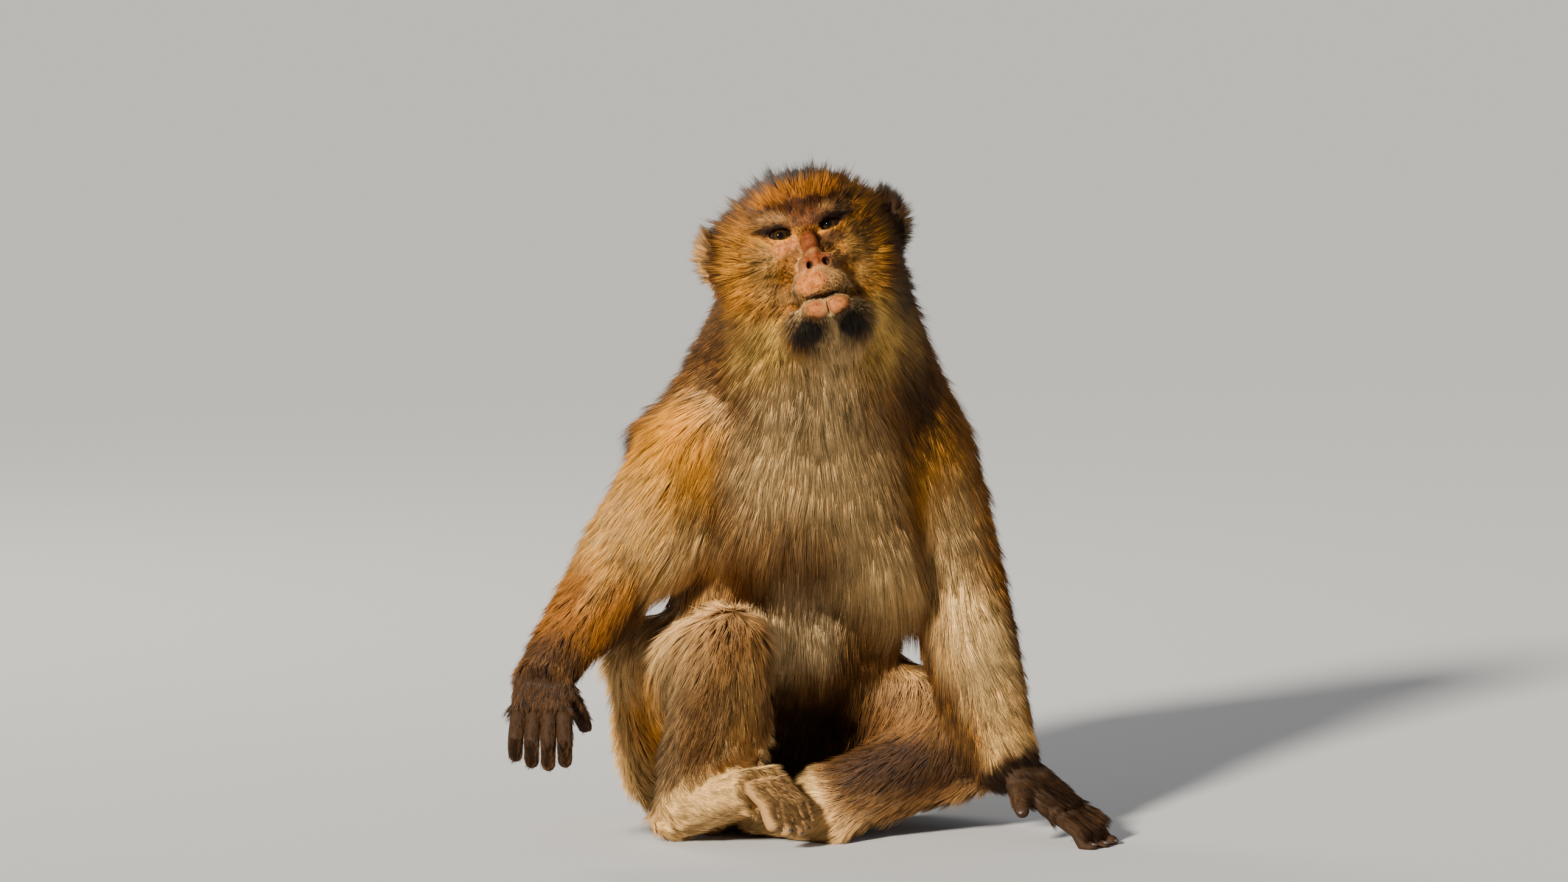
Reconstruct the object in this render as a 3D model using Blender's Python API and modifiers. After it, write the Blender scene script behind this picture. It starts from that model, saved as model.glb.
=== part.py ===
"""Barbary macaque, seated and propped on its left hand: a still, life-size model.

Soft masses are laid over a posed skeleton, fused to smooth forms that reach the
tips of the coat, and parted with thin cuts where a person would name the parts.
Every local frame reads as (left, back, up), seen from the animal itself.
"""

import math

import bmesh
import bpy
from mathutils import Matrix, Vector

MODEL = "barbary_macaque"
MM = 0.001
CUT = 0.0004            # width of a thin cut between two parts
CLEARANCE = 0.0005      # room left round a form that is set into another
BEAD_STEP = 0.22        # spacing of the beads that fill a limb, in radii


def at(left, back, up):
    """A point or offset given in millimetres."""
    return Vector((left, back, up)) * MM


def turned(yaw):
    """A frame turned to the animal's left by yaw degrees."""
    return Matrix.Rotation(math.radians(yaw), 3, "Z")


# --- posed skeleton -------------------------------------------------------------

PELVIS = at(-22, 75, 92)
PELVIS_FRAME = turned(24)
HIP_HALF = 50
CHEST = at(6, 18, 272)
CHEST_FRAME = turned(17)
SHOULDER_HALF = 88
WAIST = at(-10, 52, 180)

HEAD_YAW = 4
HEAD_PITCH = 15
HEAD_ROLL = 13.5
EYE_MIDDLE = at(2, -85, 487)
HEAD_FRAME = (turned(HEAD_YAW) @ Matrix.Rotation(math.radians(-HEAD_PITCH), 3, "X")
              @ Matrix.Rotation(math.radians(-HEAD_ROLL), 3, "Y"))
EYE_HALF = 19.5
EYE_RADIUS = 10.0

LEFT, RIGHT = 1, -1
SIDE_NAME = {LEFT: "left", RIGHT: "right"}


def in_frame(origin, frame, left, back, up):
    """A world point from millimetres along a frame's own axes."""
    return origin + frame @ at(left, back, up)


def in_head(left, back, up):
    """A world point from millimetres along the head's axes, counted from between the eyes."""
    return in_frame(EYE_MIDDLE, HEAD_FRAME, left, back, up)


SHOULDER = {LEFT: in_frame(CHEST, CHEST_FRAME, SHOULDER_HALF, -4, 46),
            RIGHT: in_frame(CHEST, CHEST_FRAME, -SHOULDER_HALF, -4, 44)}
ELBOW = {LEFT: at(123, 46, 198), RIGHT: at(-147, -12, 214)}
WRIST = {LEFT: at(157, -41, 64), RIGHT: at(-201, -112, 138)}
HIP = {side: in_frame(PELVIS, PELVIS_FRAME, side * HIP_HALF, 0, 0) for side in (LEFT, RIGHT)}
KNEE = {LEFT: at(134, 8, 62), RIGHT: at(-57, -82, 164)}
ANKLE = {LEFT: at(14, -48, 30), RIGHT: at(-84, -60, 40)}


# --- tools ----------------------------------------------------------------------

def add_ball(mesh, centre, radii, frame=None):
    """Add an ellipsoid of the given radii (mm) to a bmesh, turned by a frame."""
    turn = (frame or Matrix.Identity(3)).to_4x4()
    size = Matrix.Diagonal((*[radius * MM for radius in radii], 1.0))
    bmesh.ops.create_icosphere(mesh, subdivisions=3, radius=1.0,
                               matrix=Matrix.Translation(centre) @ turn @ size)


def along(stations, share):
    """Read a smooth curve through stations of (point, radius) at a share of its length."""
    last = len(stations) - 1
    position = min(share * last, last - 1e-6)
    index = int(position)
    t = position - index
    picks = [stations[max(0, min(last, index + k))] for k in (-1, 0, 1, 2)]

    def blend(a, b, c, d):
        return 0.5 * ((2 * b) + (c - a) * t + (2 * a - 5 * b + 4 * c - d) * t ** 2
                      + (3 * b - a - 3 * c + d) * t ** 3)

    points = [pick[0] for pick in picks]
    radii = [pick[1] for pick in picks]
    return blend(*points), blend(*radii)


def add_limb(mesh, *stations):
    """Add a rounded, tapering limb through stations of (point, radius in mm)."""
    stations = list(stations)
    length = sum((b[0] - a[0]).length for a, b in zip(stations, stations[1:]))
    thinnest = min(radius for _, radius in stations) * MM
    count = max(3, math.ceil(length / (thinnest * BEAD_STEP)))
    for k in range(count + 1):
        point, radius = along(stations, k / count)
        add_ball(mesh, point, (radius, radius, radius))


def new_object(name, mesh):
    """Turn a bmesh into an object of the model's collection."""
    data = bpy.data.meshes.new(name)
    mesh.to_mesh(data)
    mesh.free()
    thing = bpy.data.objects.new(name, data)
    bpy.data.collections[MODEL].objects.link(thing)
    return thing


def settle(thing):
    """Replace an object's mesh by its evaluated one and drop the modifiers."""
    graph = bpy.context.evaluated_depsgraph_get()
    data = bpy.data.meshes.new_from_object(thing.evaluated_get(graph))
    old = thing.data
    thing.modifiers.clear()
    thing.data = data
    bpy.data.meshes.remove(old)
    data.name = thing.name
    return thing


def fuse(name, mesh, voxel, faces, relax=8, keep=None):
    """Fuse overlapping masses to one smooth body of about the given number of faces.

    keep tells how much of its detail a point holds on to, from 0 to 1.
    """
    body = new_object(name, mesh)
    remesh = body.modifiers.new("Fuse", "REMESH")
    remesh.mode = "VOXEL"
    remesh.voxel_size = voxel * MM
    relaxing = body.modifiers.new("Relax", "SMOOTH")
    relaxing.factor = 0.5
    relaxing.iterations = relax
    settle(body)
    thin_out(body, faces, keep)
    return body


def thin_out(body, faces, keep=None):
    """Reduce a body to about the given number of triangles."""
    triangles = sum(len(polygon.vertices) - 2 for polygon in body.data.polygons)
    reduce = body.modifiers.new("Reduce", "DECIMATE")
    reduce.ratio = min(1.0, faces / triangles)
    if keep:
        group = body.vertex_groups.new(name="plain")
        for vertex in body.data.vertices:
            group.add([vertex.index], 1.0 - keep(vertex.co), "REPLACE")
        reduce.vertex_group = group.name
        reduce.vertex_group_factor = 1.0
    settle(body)
    body.vertex_groups.clear()


def grown(body, distance):
    """A copy of a body pushed out along its normals, kept as a cutter."""
    data = body.data.copy()
    normals = [vertex.normal.copy() for vertex in data.vertices]
    for vertex, normal in zip(data.vertices, normals):
        vertex.co += normal * distance
    cutter = bpy.data.objects.new(body.name + "_cutter", data)
    bpy.data.collections[MODEL + "_cutters"].objects.link(cutter)
    cutter.hide_render = True
    cutter.display_type = "WIRE"
    return cutter


def cut_away(body, cutter):
    """Take a cutter out of a body."""
    boolean = body.modifiers.new("Cut", "BOOLEAN")
    boolean.operation = "DIFFERENCE"
    boolean.solver = "EXACT"
    boolean.object = cutter
    settle(body)


def trim(body, point, normal):
    """Cut off what lies on the side of a plane that its normal points to, and close the face."""
    mesh = bmesh.new()
    mesh.from_mesh(body.data)
    bmesh.ops.bisect_plane(mesh, geom=mesh.verts[:] + mesh.edges[:] + mesh.faces[:], dist=1e-7,
                           plane_co=point, plane_no=normal, clear_outer=True)
    rim = [edge for edge in mesh.edges if edge.is_boundary]
    bmesh.ops.holes_fill(mesh, edges=rim, sides=0)
    bmesh.ops.triangulate(mesh, faces=mesh.faces[:])
    bmesh.ops.recalc_face_normals(mesh, faces=mesh.faces[:])
    mesh.to_mesh(body.data)
    mesh.free()


def part_at(body, near_name, far_name, point, normal):
    """Part a body by a thin plane cut; the far piece lies where the normal points."""
    normal = normal.normalized()
    far = new_object(far_name, bmesh_of(body))
    trim(far, point + normal * CUT / 2, -normal)
    trim(body, point - normal * CUT / 2, normal)
    body.name = near_name
    body.data.name = near_name
    return body, far


def bmesh_of(body):
    """A bmesh copy of an object's mesh."""
    mesh = bmesh.new()
    mesh.from_mesh(body.data)
    return mesh


# --- masses ---------------------------------------------------------------------

def fuse_trunk():
    """Head, neck, chest, abdomen and pelvis as one body."""
    mesh = bmesh.new()
    # skull under its cap of hair
    add_ball(mesh, in_head(0, 58, 2), (68, 66, 57), HEAD_FRAME)
    add_ball(mesh, in_head(0, 34, 14), (56, 42, 39), HEAD_FRAME)
    for side in (LEFT, RIGHT):
        # brow, cheekbone, whiskers and the ruff under them
        add_ball(mesh, in_head(side * 18, 3, 13), (20, 14, 8), HEAD_FRAME)
        add_ball(mesh, in_head(side * 28, 8, -18), (18, 14, 15), HEAD_FRAME)
        add_ball(mesh, in_head(side * 36, 40, -22), (42, 40, 44), HEAD_FRAME)
        add_ball(mesh, in_head(side * 34, 46, -54), (40, 42, 38), HEAD_FRAME)
        # slope from the nape to the shoulder
        add_limb(mesh, (in_head(side * 22, 66, -48), 56), (CHEST + at(side * 42, 14, 90), 59),
                 (SHOULDER[side] + at(0, 10, -6), 40))
    # bridge of the nose, muzzle, lips and chin
    add_limb(mesh, (in_head(0, 2, -3), 8), (in_head(0, -10, -19), 10), (in_head(0, -22, -31), 11))
    add_ball(mesh, in_head(0, -4, -38), (28, 30, 24), HEAD_FRAME)
    add_ball(mesh, in_head(0, -20, -48), (25, 25, 17), HEAD_FRAME)
    add_ball(mesh, in_head(0, -16, -69), (24, 24, 14), HEAD_FRAME)
    add_ball(mesh, in_head(0, 8, -74), (36, 36, 25), HEAD_FRAME)
    # neck and the mane over it
    add_limb(mesh, (in_head(0, 56, -36), 70), (at(6, -10, 372), 76), (CHEST + at(0, 6, 50), 80))
    # chest, belly and back
    add_ball(mesh, CHEST + at(0, 0, 20), (92, 86, 84), CHEST_FRAME)
    add_ball(mesh, in_frame(CHEST, CHEST_FRAME, -4, 20, -8), (102, 92, 92), CHEST_FRAME)
    add_ball(mesh, in_frame(CHEST, CHEST_FRAME, -14, 40, 26), (112, 64, 62), CHEST_FRAME)
    add_ball(mesh, in_frame(CHEST, CHEST_FRAME, -84, 56, 38), (55, 48, 42), CHEST_FRAME)
    add_ball(mesh, in_frame(CHEST, CHEST_FRAME, -78, 50, 0), (56, 52, 70), CHEST_FRAME)
    add_ball(mesh, in_frame(CHEST, CHEST_FRAME, 2, -24, 4), (84, 60, 86), CHEST_FRAME)
    add_ball(mesh, in_frame(CHEST, CHEST_FRAME, 40, -40, -44), (38, 42, 56), CHEST_FRAME)
    add_ball(mesh, in_frame(CHEST, CHEST_FRAME, -30, -36, -34), (54, 42, 54), CHEST_FRAME)
    add_ball(mesh, WAIST, (98, 88, 92), PELVIS_FRAME)
    add_ball(mesh, WAIST + at(24, -56, -30), (26, 26, 48), CHEST_FRAME)
    add_ball(mesh, in_frame(WAIST, PELVIS_FRAME, 0, 20, -40), (90, 84, 80), PELVIS_FRAME)
    add_ball(mesh, in_frame(PELVIS, PELVIS_FRAME, 0, 16, -6), (86, 70, 90), PELVIS_FRAME)
    return fuse("trunk", mesh, 3.0, TRUNK_FACES, relax=14, keep=on_face)


def on_face(point):
    """How firmly the face holds its detail, from 0 to 1."""
    beside = point - EYE_MIDDLE
    forward = -beside.dot(HEAD_FRAME.col[1]) / MM
    if beside.length > 100 * MM or forward < -14:
        return 0.2
    return 0.4


def fuse_arm(side):
    """One arm, from the shoulder to the knuckles."""
    mesh = bmesh.new()
    shoulder, elbow, wrist = SHOULDER[side], ELBOW[side], WRIST[side]
    if side == RIGHT:
        add_limb(mesh, (shoulder, 46), (shoulder.lerp(elbow, 0.5), 43), (elbow, 38),
                 (elbow.lerp(wrist, 0.5), 31), (wrist, 23))
        # fringe under the upper arm
        add_ball(mesh, elbow + at(44, -12, 30), (44, 30, 36))
    else:
        add_limb(mesh, (shoulder, 45), (shoulder.lerp(elbow, 0.5), 42), (elbow, 40),
                 (elbow.lerp(wrist, 0.5), 37), (wrist, 27))
    add_palm(mesh, HAND[side])
    return fuse("arm_" + SIDE_NAME[side], mesh, 2.4, ARM_FACES, relax=6)


def fuse_leg(side):
    """One leg, from the haunch to the ball of the foot."""
    mesh = bmesh.new()
    hip, knee, ankle = HIP[side], KNEE[side], ANKLE[side]
    if side == RIGHT:
        add_ball(mesh, in_frame(PELVIS, PELVIS_FRAME, -77, 6, -4), (65, 62, 78), PELVIS_FRAME)
        add_ball(mesh, in_frame(PELVIS, PELVIS_FRAME, -86, 8, 34), (58, 52, 52), PELVIS_FRAME)
        add_ball(mesh, in_frame(PELVIS, PELVIS_FRAME, -76, 10, -36), (62, 54, 60), PELVIS_FRAME)
        add_limb(mesh, (hip + at(-14, 0, 14), 56), (hip.lerp(knee, 0.5) + at(-6, 0, 4), 50), (knee, 34))
        add_limb(mesh, (knee, 34), (knee.lerp(ankle, 0.42) + at(4, 12, 0), 43), (ankle, 34))
    else:
        add_ball(mesh, in_frame(PELVIS, PELVIS_FRAME, 66, 4, -10), (62, 58, 72), PELVIS_FRAME)
        add_limb(mesh, (hip + at(8, 0, 6), 54), (hip.lerp(knee, 0.5) + at(0, 0, 6), 50), (knee, 36))
        add_limb(mesh, (knee, 36), (knee.lerp(ankle, 0.4), 38), (ankle, 27))
    add_sole(mesh, FOOT[side])
    return fuse("leg_" + SIDE_NAME[side], mesh, 2.6, LEG_FACES, relax=6)


# --- hands and feet -------------------------------------------------------------

class Paw:
    """A hand or foot: its palm runs along `reach`, its digits stand across the end."""

    def __init__(self, root, reach, across, length, width, thick, on_floor=False):
        self.root = root
        self.reach = reach.normalized()
        self.across = (across - self.reach * across.dot(self.reach)).normalized()
        down = self.reach.cross(self.across)
        self.down = -down if down.z > 0 else down
        self.length = length
        self.width = width
        self.thick = thick
        self.on_floor = on_floor

    def point(self, reach, across, down):
        """A world point from millimetres along the paw's own axes."""
        return self.root + (self.reach * reach + self.across * across + self.down * down) * MM

    def lane(self, digit):
        """How far across the palm a digit stands, in mm, counted from the thumb's side."""
        return (1.5 - digit) * self.width / 4

    def heading(self, fan, dip):
        """A direction swung across by fan and bent towards the palm by dip, in degrees."""
        fan, dip = math.radians(fan), math.radians(dip)
        level = self.reach * math.cos(fan) + self.across * math.sin(fan)
        return level * math.cos(dip) + self.down * math.sin(dip)


HAND = {
    RIGHT: Paw(WRIST[RIGHT], at(-2, -44, -28), at(1, 0, 0), 46, 46, 13),
    LEFT: Paw(WRIST[LEFT], at(62, -30, -48), at(-40, -60, 0), 65, 46, 13, on_floor=True),
}
FOOT = {
    RIGHT: Paw(ANKLE[RIGHT] + at(-4, 2, -8), at(80, -58, 24), at(58, 80, 0), 68, 48, 20),
    LEFT: Paw(ANKLE[LEFT] + at(2, -2, -9), at(-82, 54, -6), at(60, 80, 0), 56, 46, 17, on_floor=True),
}
# how each row of digits bends: dips of the three bones, fan between digits, sizes in mm
KNUCKLE = 5
FINGER_BONES = (21, 15, 10)
TOE_BONES = (22, 15, 11)
THUMB_BONES = (15, 13)
HALLUX_BONES = (19, 15)
FINGER_DIPS = {RIGHT: (24, 68, 112), LEFT: (-6, 22, -30)}
TOE_DIPS = {RIGHT: (50, 85, 75), LEFT: (8, 28, 24)}
THUMB_DIPS = {RIGHT: (46, 54), LEFT: (10, 4)}
HALLUX_DIPS = {RIGHT: (30, 36), LEFT: (6, 8)}
THUMB_FAN = 42
HALLUX_FAN = 14
FINGER_FAN = {RIGHT: 3, LEFT: 7}
TOE_FAN = {RIGHT: 2, LEFT: 4}
# first to fourth digit, as shares of the bones above
DIGIT_SHARE = (0.92, 1.0, 0.95, 0.82)


def add_palm(mesh, hand):
    """The back of a hand, up to the knuckles."""
    for digit in range(4):
        lane = hand.lane(digit)
        add_limb(mesh, (hand.point(0, lane * 0.5, 0), hand.thick + 2),
                 (hand.point(hand.length + 10, lane, 0), hand.thick * 0.62))


def add_sole(mesh, foot):
    """Heel and middle of a foot, up to the ball."""
    add_limb(mesh, (foot.point(-20, 0, 9), foot.thick), (foot.point(8, 0, 0), foot.thick + 7))
    for digit in range(4):
        lane = foot.lane(digit)
        add_limb(mesh, (foot.point(4, lane * 0.6, 2), foot.thick + 2),
                 (foot.point(foot.length + 12, lane, 0), foot.thick * 0.8))


def make_tube(name, stations, rings):
    """A rounded tapering digit through stations of (point, radius in mm)."""
    curve = bpy.data.curves.new(name + "_path", "CURVE")
    curve.dimensions = "3D"
    curve.bevel_depth = MM
    curve.bevel_resolution = 2
    curve.use_fill_caps = True
    spline = curve.splines.new("POLY")
    spline.points.add(rings - 1)
    for k, knot in enumerate(spline.points):
        point, radius = along(stations, k / (rings - 1))
        knot.co = (*point, 1.0)
        knot.radius = radius
    path = bpy.data.objects.new(name + "_path", curve)
    bpy.data.collections[MODEL].objects.link(path)
    graph = bpy.context.evaluated_depsgraph_get()
    data = bpy.data.meshes.new_from_object(path.evaluated_get(graph))
    mesh = bmesh.new()
    mesh.from_mesh(data)
    bmesh.ops.remove_doubles(mesh, verts=mesh.verts[:], dist=1e-6)
    bmesh.ops.recalc_face_normals(mesh, faces=mesh.faces[:])
    bpy.data.objects.remove(path)
    bpy.data.curves.remove(curve)
    bpy.data.meshes.remove(data)
    return new_object(name, mesh)


def digit_stations(paw, root, fan, dips, bones, radius):
    """Stations of a digit from its root through the ends of its bones."""
    stations = [(root, radius), (root + paw.heading(fan, 0) * KNUCKLE * MM, radius)]
    point = stations[-1][0]
    for dip, bone in zip(dips, bones):
        point = point + paw.heading(fan, dip) * bone * MM
        stations.append((point, radius * 0.92))
        radius *= 0.92
    tip, _ = stations.pop()
    before = stations[-1][0]
    stations += [(before.lerp(tip, 0.78), radius), (tip, radius * 0.42)]
    return stations


def landed(paw, root, fan, dips, bones, radius):
    """Stations of a digit whose middle bone is bent until its tip bears on the floor."""
    for more in range(0, 60, 2):
        bent = (dips[0], dips[1] + more, dips[2])
        stations = digit_stations(paw, root, fan, bent, bones, radius)
        (before, _), (point, girth) = stations[-3:-1]
        slope = (point - before).normalized().z
        if point.z - girth * MM * math.sqrt(1 - slope * slope) * 0.9 < -0.4 * MM:
            break
    return stations


def make_digits(paw, name, side, bones, dips, fan):
    """Four digits across the end of a palm."""
    shaped = landed if paw.on_floor else digit_stations
    radius = paw.width / 8 - 0.35
    for digit in range(4):
        swing = fan * (1.5 - digit)
        clear = 0.5 + radius * abs(math.sin(math.radians(swing)))
        root = paw.point(paw.length + clear, paw.lane(digit), 0)
        lengths = [bone * DIGIT_SHARE[digit] for bone in bones]
        stations = shaped(paw, root, swing, dips, lengths, radius)
        make_tube("%s_%s_%d" % (name, SIDE_NAME[side], digit + 1), stations, 6)


def make_thumb(paw, name, side, bones, dips, fan):
    """The thumb or great toe at the side of a palm."""
    root = paw.point(paw.length * 0.4, paw.width * 0.4, paw.thick * 0.3)
    stations = digit_stations(paw, root, fan, dips, bones, paw.width / 8 - 0.35)
    return make_tube("%s_%s" % (name, SIDE_NAME[side]), stations, 6)


# --- eyes, ears, tail and seat pads ----------------------------------------------

def make_ball(name, centre, radii, frame=None, subdivisions=2):
    """One ellipsoid as an object of its own."""
    mesh = bmesh.new()
    turn = (frame or Matrix.Identity(3)).to_4x4()
    size = Matrix.Diagonal((*[radius * MM for radius in radii], 1.0))
    bmesh.ops.create_icosphere(mesh, subdivisions=subdivisions, radius=1.0,
                               matrix=Matrix.Translation(centre) @ turn @ size)
    return new_object(name, mesh)


def as_cutter(thing):
    """Move an object to the cutters."""
    bpy.data.collections[MODEL].objects.unlink(thing)
    bpy.data.collections[MODEL + "_cutters"].objects.link(thing)
    thing.hide_render = True
    thing.display_type = "WIRE"
    return thing


def set_eye(head, side):
    """An eyeball deep under the brow, in an open socket."""
    centre = in_head(side * EYE_HALF, EYE_RADIUS - 1, 0)
    make_ball("eye_" + SIDE_NAME[side], centre, (EYE_RADIUS,) * 3, subdivisions=2)
    socket = make_ball("socket", centre, (EYE_RADIUS + 0.6,) * 3)
    cut_away(head, as_cutter(socket))
    opening = make_ball("opening", in_head(side * EYE_HALF, -8, -0.5), (12, 11, 7.5), HEAD_FRAME)
    cut_away(head, as_cutter(opening))


def set_ear(head, side):
    """A cupped ear that stands out of the hair."""
    flare = HEAD_FRAME @ turned(side * 32)
    centre = in_head(side * 67, 60, -4)
    ear = make_ball("ear_" + SIDE_NAME[side], centre, (6, 19, 24), flare)
    cut_away(head, grown(ear, CLEARANCE))
    cup = make_ball("cup", centre + flare @ at(side * 6, -2, 0), (7, 14, 19), flare)
    cut_away(ear, as_cutter(cup))


def set_seat(pelvis):
    """Two bare seat pads and the stub of a tail."""
    for side in (LEFT, RIGHT):
        centre = in_frame(PELVIS, PELVIS_FRAME, side * 25, 42, -84)
        pad = make_ball("seat_pad_" + SIDE_NAME[side], centre, (20, 18, 14), PELVIS_FRAME)
        cut_away(pelvis, grown(pad, CLEARANCE))
    tail = make_ball("tail_stub", in_frame(PELVIS, PELVIS_FRAME, 0, 88, -8), (8, 15, 8),
                     PELVIS_FRAME @ Matrix.Rotation(math.radians(-35), 3, "X"))
    cut_away(pelvis, grown(tail, CLEARANCE))


# --- assembly -------------------------------------------------------------------

TRUNK_FACES = 1040
ARM_FACES = 310
LEG_FACES = 340
SHOULDER_ROOT = 60      # how far out from the spine the root of an arm starts, mm
HIP_ROOT = 36           # the same for a thigh


def build():
    """Model every part, cut the parts clear of each other and stand them on the origin."""
    for thing in list(bpy.data.objects):
        bpy.data.objects.remove(thing, do_unlink=True)
    for name in (MODEL, MODEL + "_cutters"):
        group = bpy.data.collections.new(name)
        bpy.context.scene.collection.children.link(group)

    trunk = fuse_trunk()
    for side in (LEFT, RIGHT):
        arm = part_arm(fuse_arm(side), side)
        leg = part_leg(fuse_leg(side), side)
        # the rounded root of a limb ends flat inside the trunk
        outward = CHEST_FRAME.col[0] * side
        trim(arm[0], CHEST + outward * SHOULDER_ROOT * MM, -outward)
        outward = PELVIS_FRAME.col[0] * side
        trim(leg[0], PELVIS + outward * HIP_ROOT * MM, -outward)
        for piece in arm:
            cut_away(leg[0], grown(piece, CLEARANCE))
            cut_away(leg[1], grown(piece, CLEARANCE))
        for piece in arm[:2]:
            cut_away(trunk, grown(piece, CLEARANCE))
        for piece in leg[:2]:
            cut_away(trunk, grown(piece, CLEARANCE))
    part_trunk(trunk)
    for thing in bpy.data.collections[MODEL].objects:
        trim(thing, Vector(), Vector((0, 0, -1)))
    stand_on_origin()
    for thing in bpy.data.collections[MODEL].objects:
        finish(thing)


def part_arm(arm, side):
    """Upper arm, forearm, hand and digits."""
    word = SIDE_NAME[side]
    elbow, wrist, hand = ELBOW[side], WRIST[side], HAND[side]
    upper = (elbow - SHOULDER[side]).normalized()
    fore = (wrist - elbow).normalized()
    _, lower = part_at(arm, "upper_arm_" + word, "forearm_" + word, elbow, upper + fore)
    _, palm = part_at(lower, "forearm_" + word, "hand_" + word, wrist, fore + hand.reach)
    trim(palm, hand.point(hand.length, 0, 0), hand.reach)
    make_digits(hand, "finger", side, FINGER_BONES, FINGER_DIPS[side], FINGER_FAN[side])
    thumb = make_thumb(hand, "thumb", side, THUMB_BONES, THUMB_DIPS[side], THUMB_FAN)
    cut_away(palm, grown(thumb, CLEARANCE))
    return arm, lower, palm


def part_leg(leg, side):
    """Thigh, shin, foot and digits."""
    word = SIDE_NAME[side]
    knee, ankle, foot = KNEE[side], ANKLE[side], FOOT[side]
    thigh = (knee - HIP[side]).normalized()
    shin = (ankle - knee).normalized()
    _, lower = part_at(leg, "thigh_" + word, "shin_" + word, knee, thigh * 1.25 + shin)
    _, sole = part_at(lower, "shin_" + word, "foot_" + word, ankle - shin * 12 * MM,
                      shin * 1.2 + foot.reach)
    trim(sole, foot.point(foot.length, 0, 0), foot.reach)
    make_digits(foot, "toe", side, TOE_BONES, TOE_DIPS[side], TOE_FAN[side])
    hallux = make_thumb(foot, "hallux", side, HALLUX_BONES, HALLUX_DIPS[side], HALLUX_FAN)
    cut_away(sole, grown(hallux, CLEARANCE))
    return leg, lower, sole


def part_trunk(trunk):
    """Pelvis, abdomen, chest, neck, head, muzzle and jaw, from the seat up."""
    forward = -HEAD_FRAME.col[1]
    part_at(trunk, "pelvis", "abdomen", at(-12, 55, 138), Vector((0, 0.1, 1)))
    objects = bpy.data.objects
    part_at(objects["abdomen"], "abdomen", "chest", at(0, 30, 222), Vector((0, -0.1, 1)))
    part_at(objects["chest"], "chest", "neck", at(6, 0, 352), Vector((0, -0.15, 1)))
    part_at(objects["neck"], "neck", "head", at(2, -30, 402), Vector((0, -0.38, 1)))
    set_seat(objects["pelvis"])
    for side in (LEFT, RIGHT):
        set_ear(objects["head"], side)
        set_eye(objects["head"], side)
    part_at(objects["head"], "head", "muzzle", in_head(0, -13, 0), forward)
    part_at(objects["muzzle"], "muzzle", "jaw", in_head(0, -30, -60), -HEAD_FRAME.col[2])


def stand_on_origin():
    """Bring the middle of the model's footprint to the origin."""
    things = bpy.data.collections[MODEL].objects
    points = [vertex.co for thing in things for vertex in thing.data.vertices]
    middle = Vector([(min(p[k] for p in points) + max(p[k] for p in points)) / 2 for k in (0, 1)] + [0])
    for thing in things:
        thing.data.transform(Matrix.Translation(-middle))


# colour and roughness by the first word of a node's name
FINISH = {
    "eye": ((0.05, 0.025, 0.012), 0.1), "hand": ((0.10, 0.07, 0.05), 0.7),
    "finger": ((0.07, 0.045, 0.035), 0.6), "thumb": ((0.07, 0.045, 0.035), 0.6),
    "toe": ((0.08, 0.055, 0.04), 0.6), "hallux": ((0.08, 0.055, 0.04), 0.6),
    "muzzle": ((0.50, 0.33, 0.24), 0.6), "jaw": ((0.42, 0.30, 0.24), 0.6),
    "seat": ((0.30, 0.19, 0.17), 0.5), "head": ((0.48, 0.30, 0.12), 0.9),
    "neck": ((0.52, 0.36, 0.18), 0.9), "shin": ((0.34, 0.26, 0.18), 0.9),
}
COAT = ((0.46, 0.32, 0.17), 0.9)


def finish(thing):
    """Give a node its own material and smooth shading."""
    colour, roughness = FINISH.get(thing.name.split("_")[0], COAT)
    material = bpy.data.materials.new(thing.name + "_finish")
    material.use_nodes = True
    shader = material.node_tree.nodes["Principled BSDF"]
    shader.inputs["Base Color"].default_value = (*colour, 1.0)
    shader.inputs["Roughness"].default_value = roughness
    shader.inputs["Metallic"].default_value = 0.0
    thing.data.materials.clear()
    thing.data.materials.append(material)
    thing.data.shade_smooth()
    thing.data.set_sharp_from_angle(angle=math.radians(50))


build()
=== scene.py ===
"""Barbary macaque, seated and propped on its left hand: skin, coat, eyes and nails.

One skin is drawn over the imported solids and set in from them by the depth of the
coat. The coat is laid over it in thin overlapping tufts that follow the lie of the
hair. Every local frame reads as (left, back, up), seen from the animal itself.
"""

import logging
import math
from dataclasses import dataclass, field
from enum import Enum
from typing import Any, Iterable, Sequence

import bmesh
import bpy
import numpy as np
from mathutils import Matrix, Vector
from mathutils.kdtree import KDTree

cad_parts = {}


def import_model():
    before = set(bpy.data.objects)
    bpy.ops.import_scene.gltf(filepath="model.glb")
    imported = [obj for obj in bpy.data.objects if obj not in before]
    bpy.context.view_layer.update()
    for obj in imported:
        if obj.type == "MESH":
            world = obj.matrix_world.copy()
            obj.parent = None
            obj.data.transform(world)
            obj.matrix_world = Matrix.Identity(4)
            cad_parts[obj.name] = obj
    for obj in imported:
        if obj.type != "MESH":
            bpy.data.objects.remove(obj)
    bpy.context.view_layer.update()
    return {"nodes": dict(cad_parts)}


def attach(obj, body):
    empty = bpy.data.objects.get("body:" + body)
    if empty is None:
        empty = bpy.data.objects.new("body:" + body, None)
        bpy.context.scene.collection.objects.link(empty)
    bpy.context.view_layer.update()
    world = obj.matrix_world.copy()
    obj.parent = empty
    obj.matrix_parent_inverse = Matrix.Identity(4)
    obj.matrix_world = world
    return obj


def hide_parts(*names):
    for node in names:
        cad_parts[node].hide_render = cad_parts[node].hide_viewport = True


LOG = logging.getLogger("macaque")
MM = 0.001
SEED = 7
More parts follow.
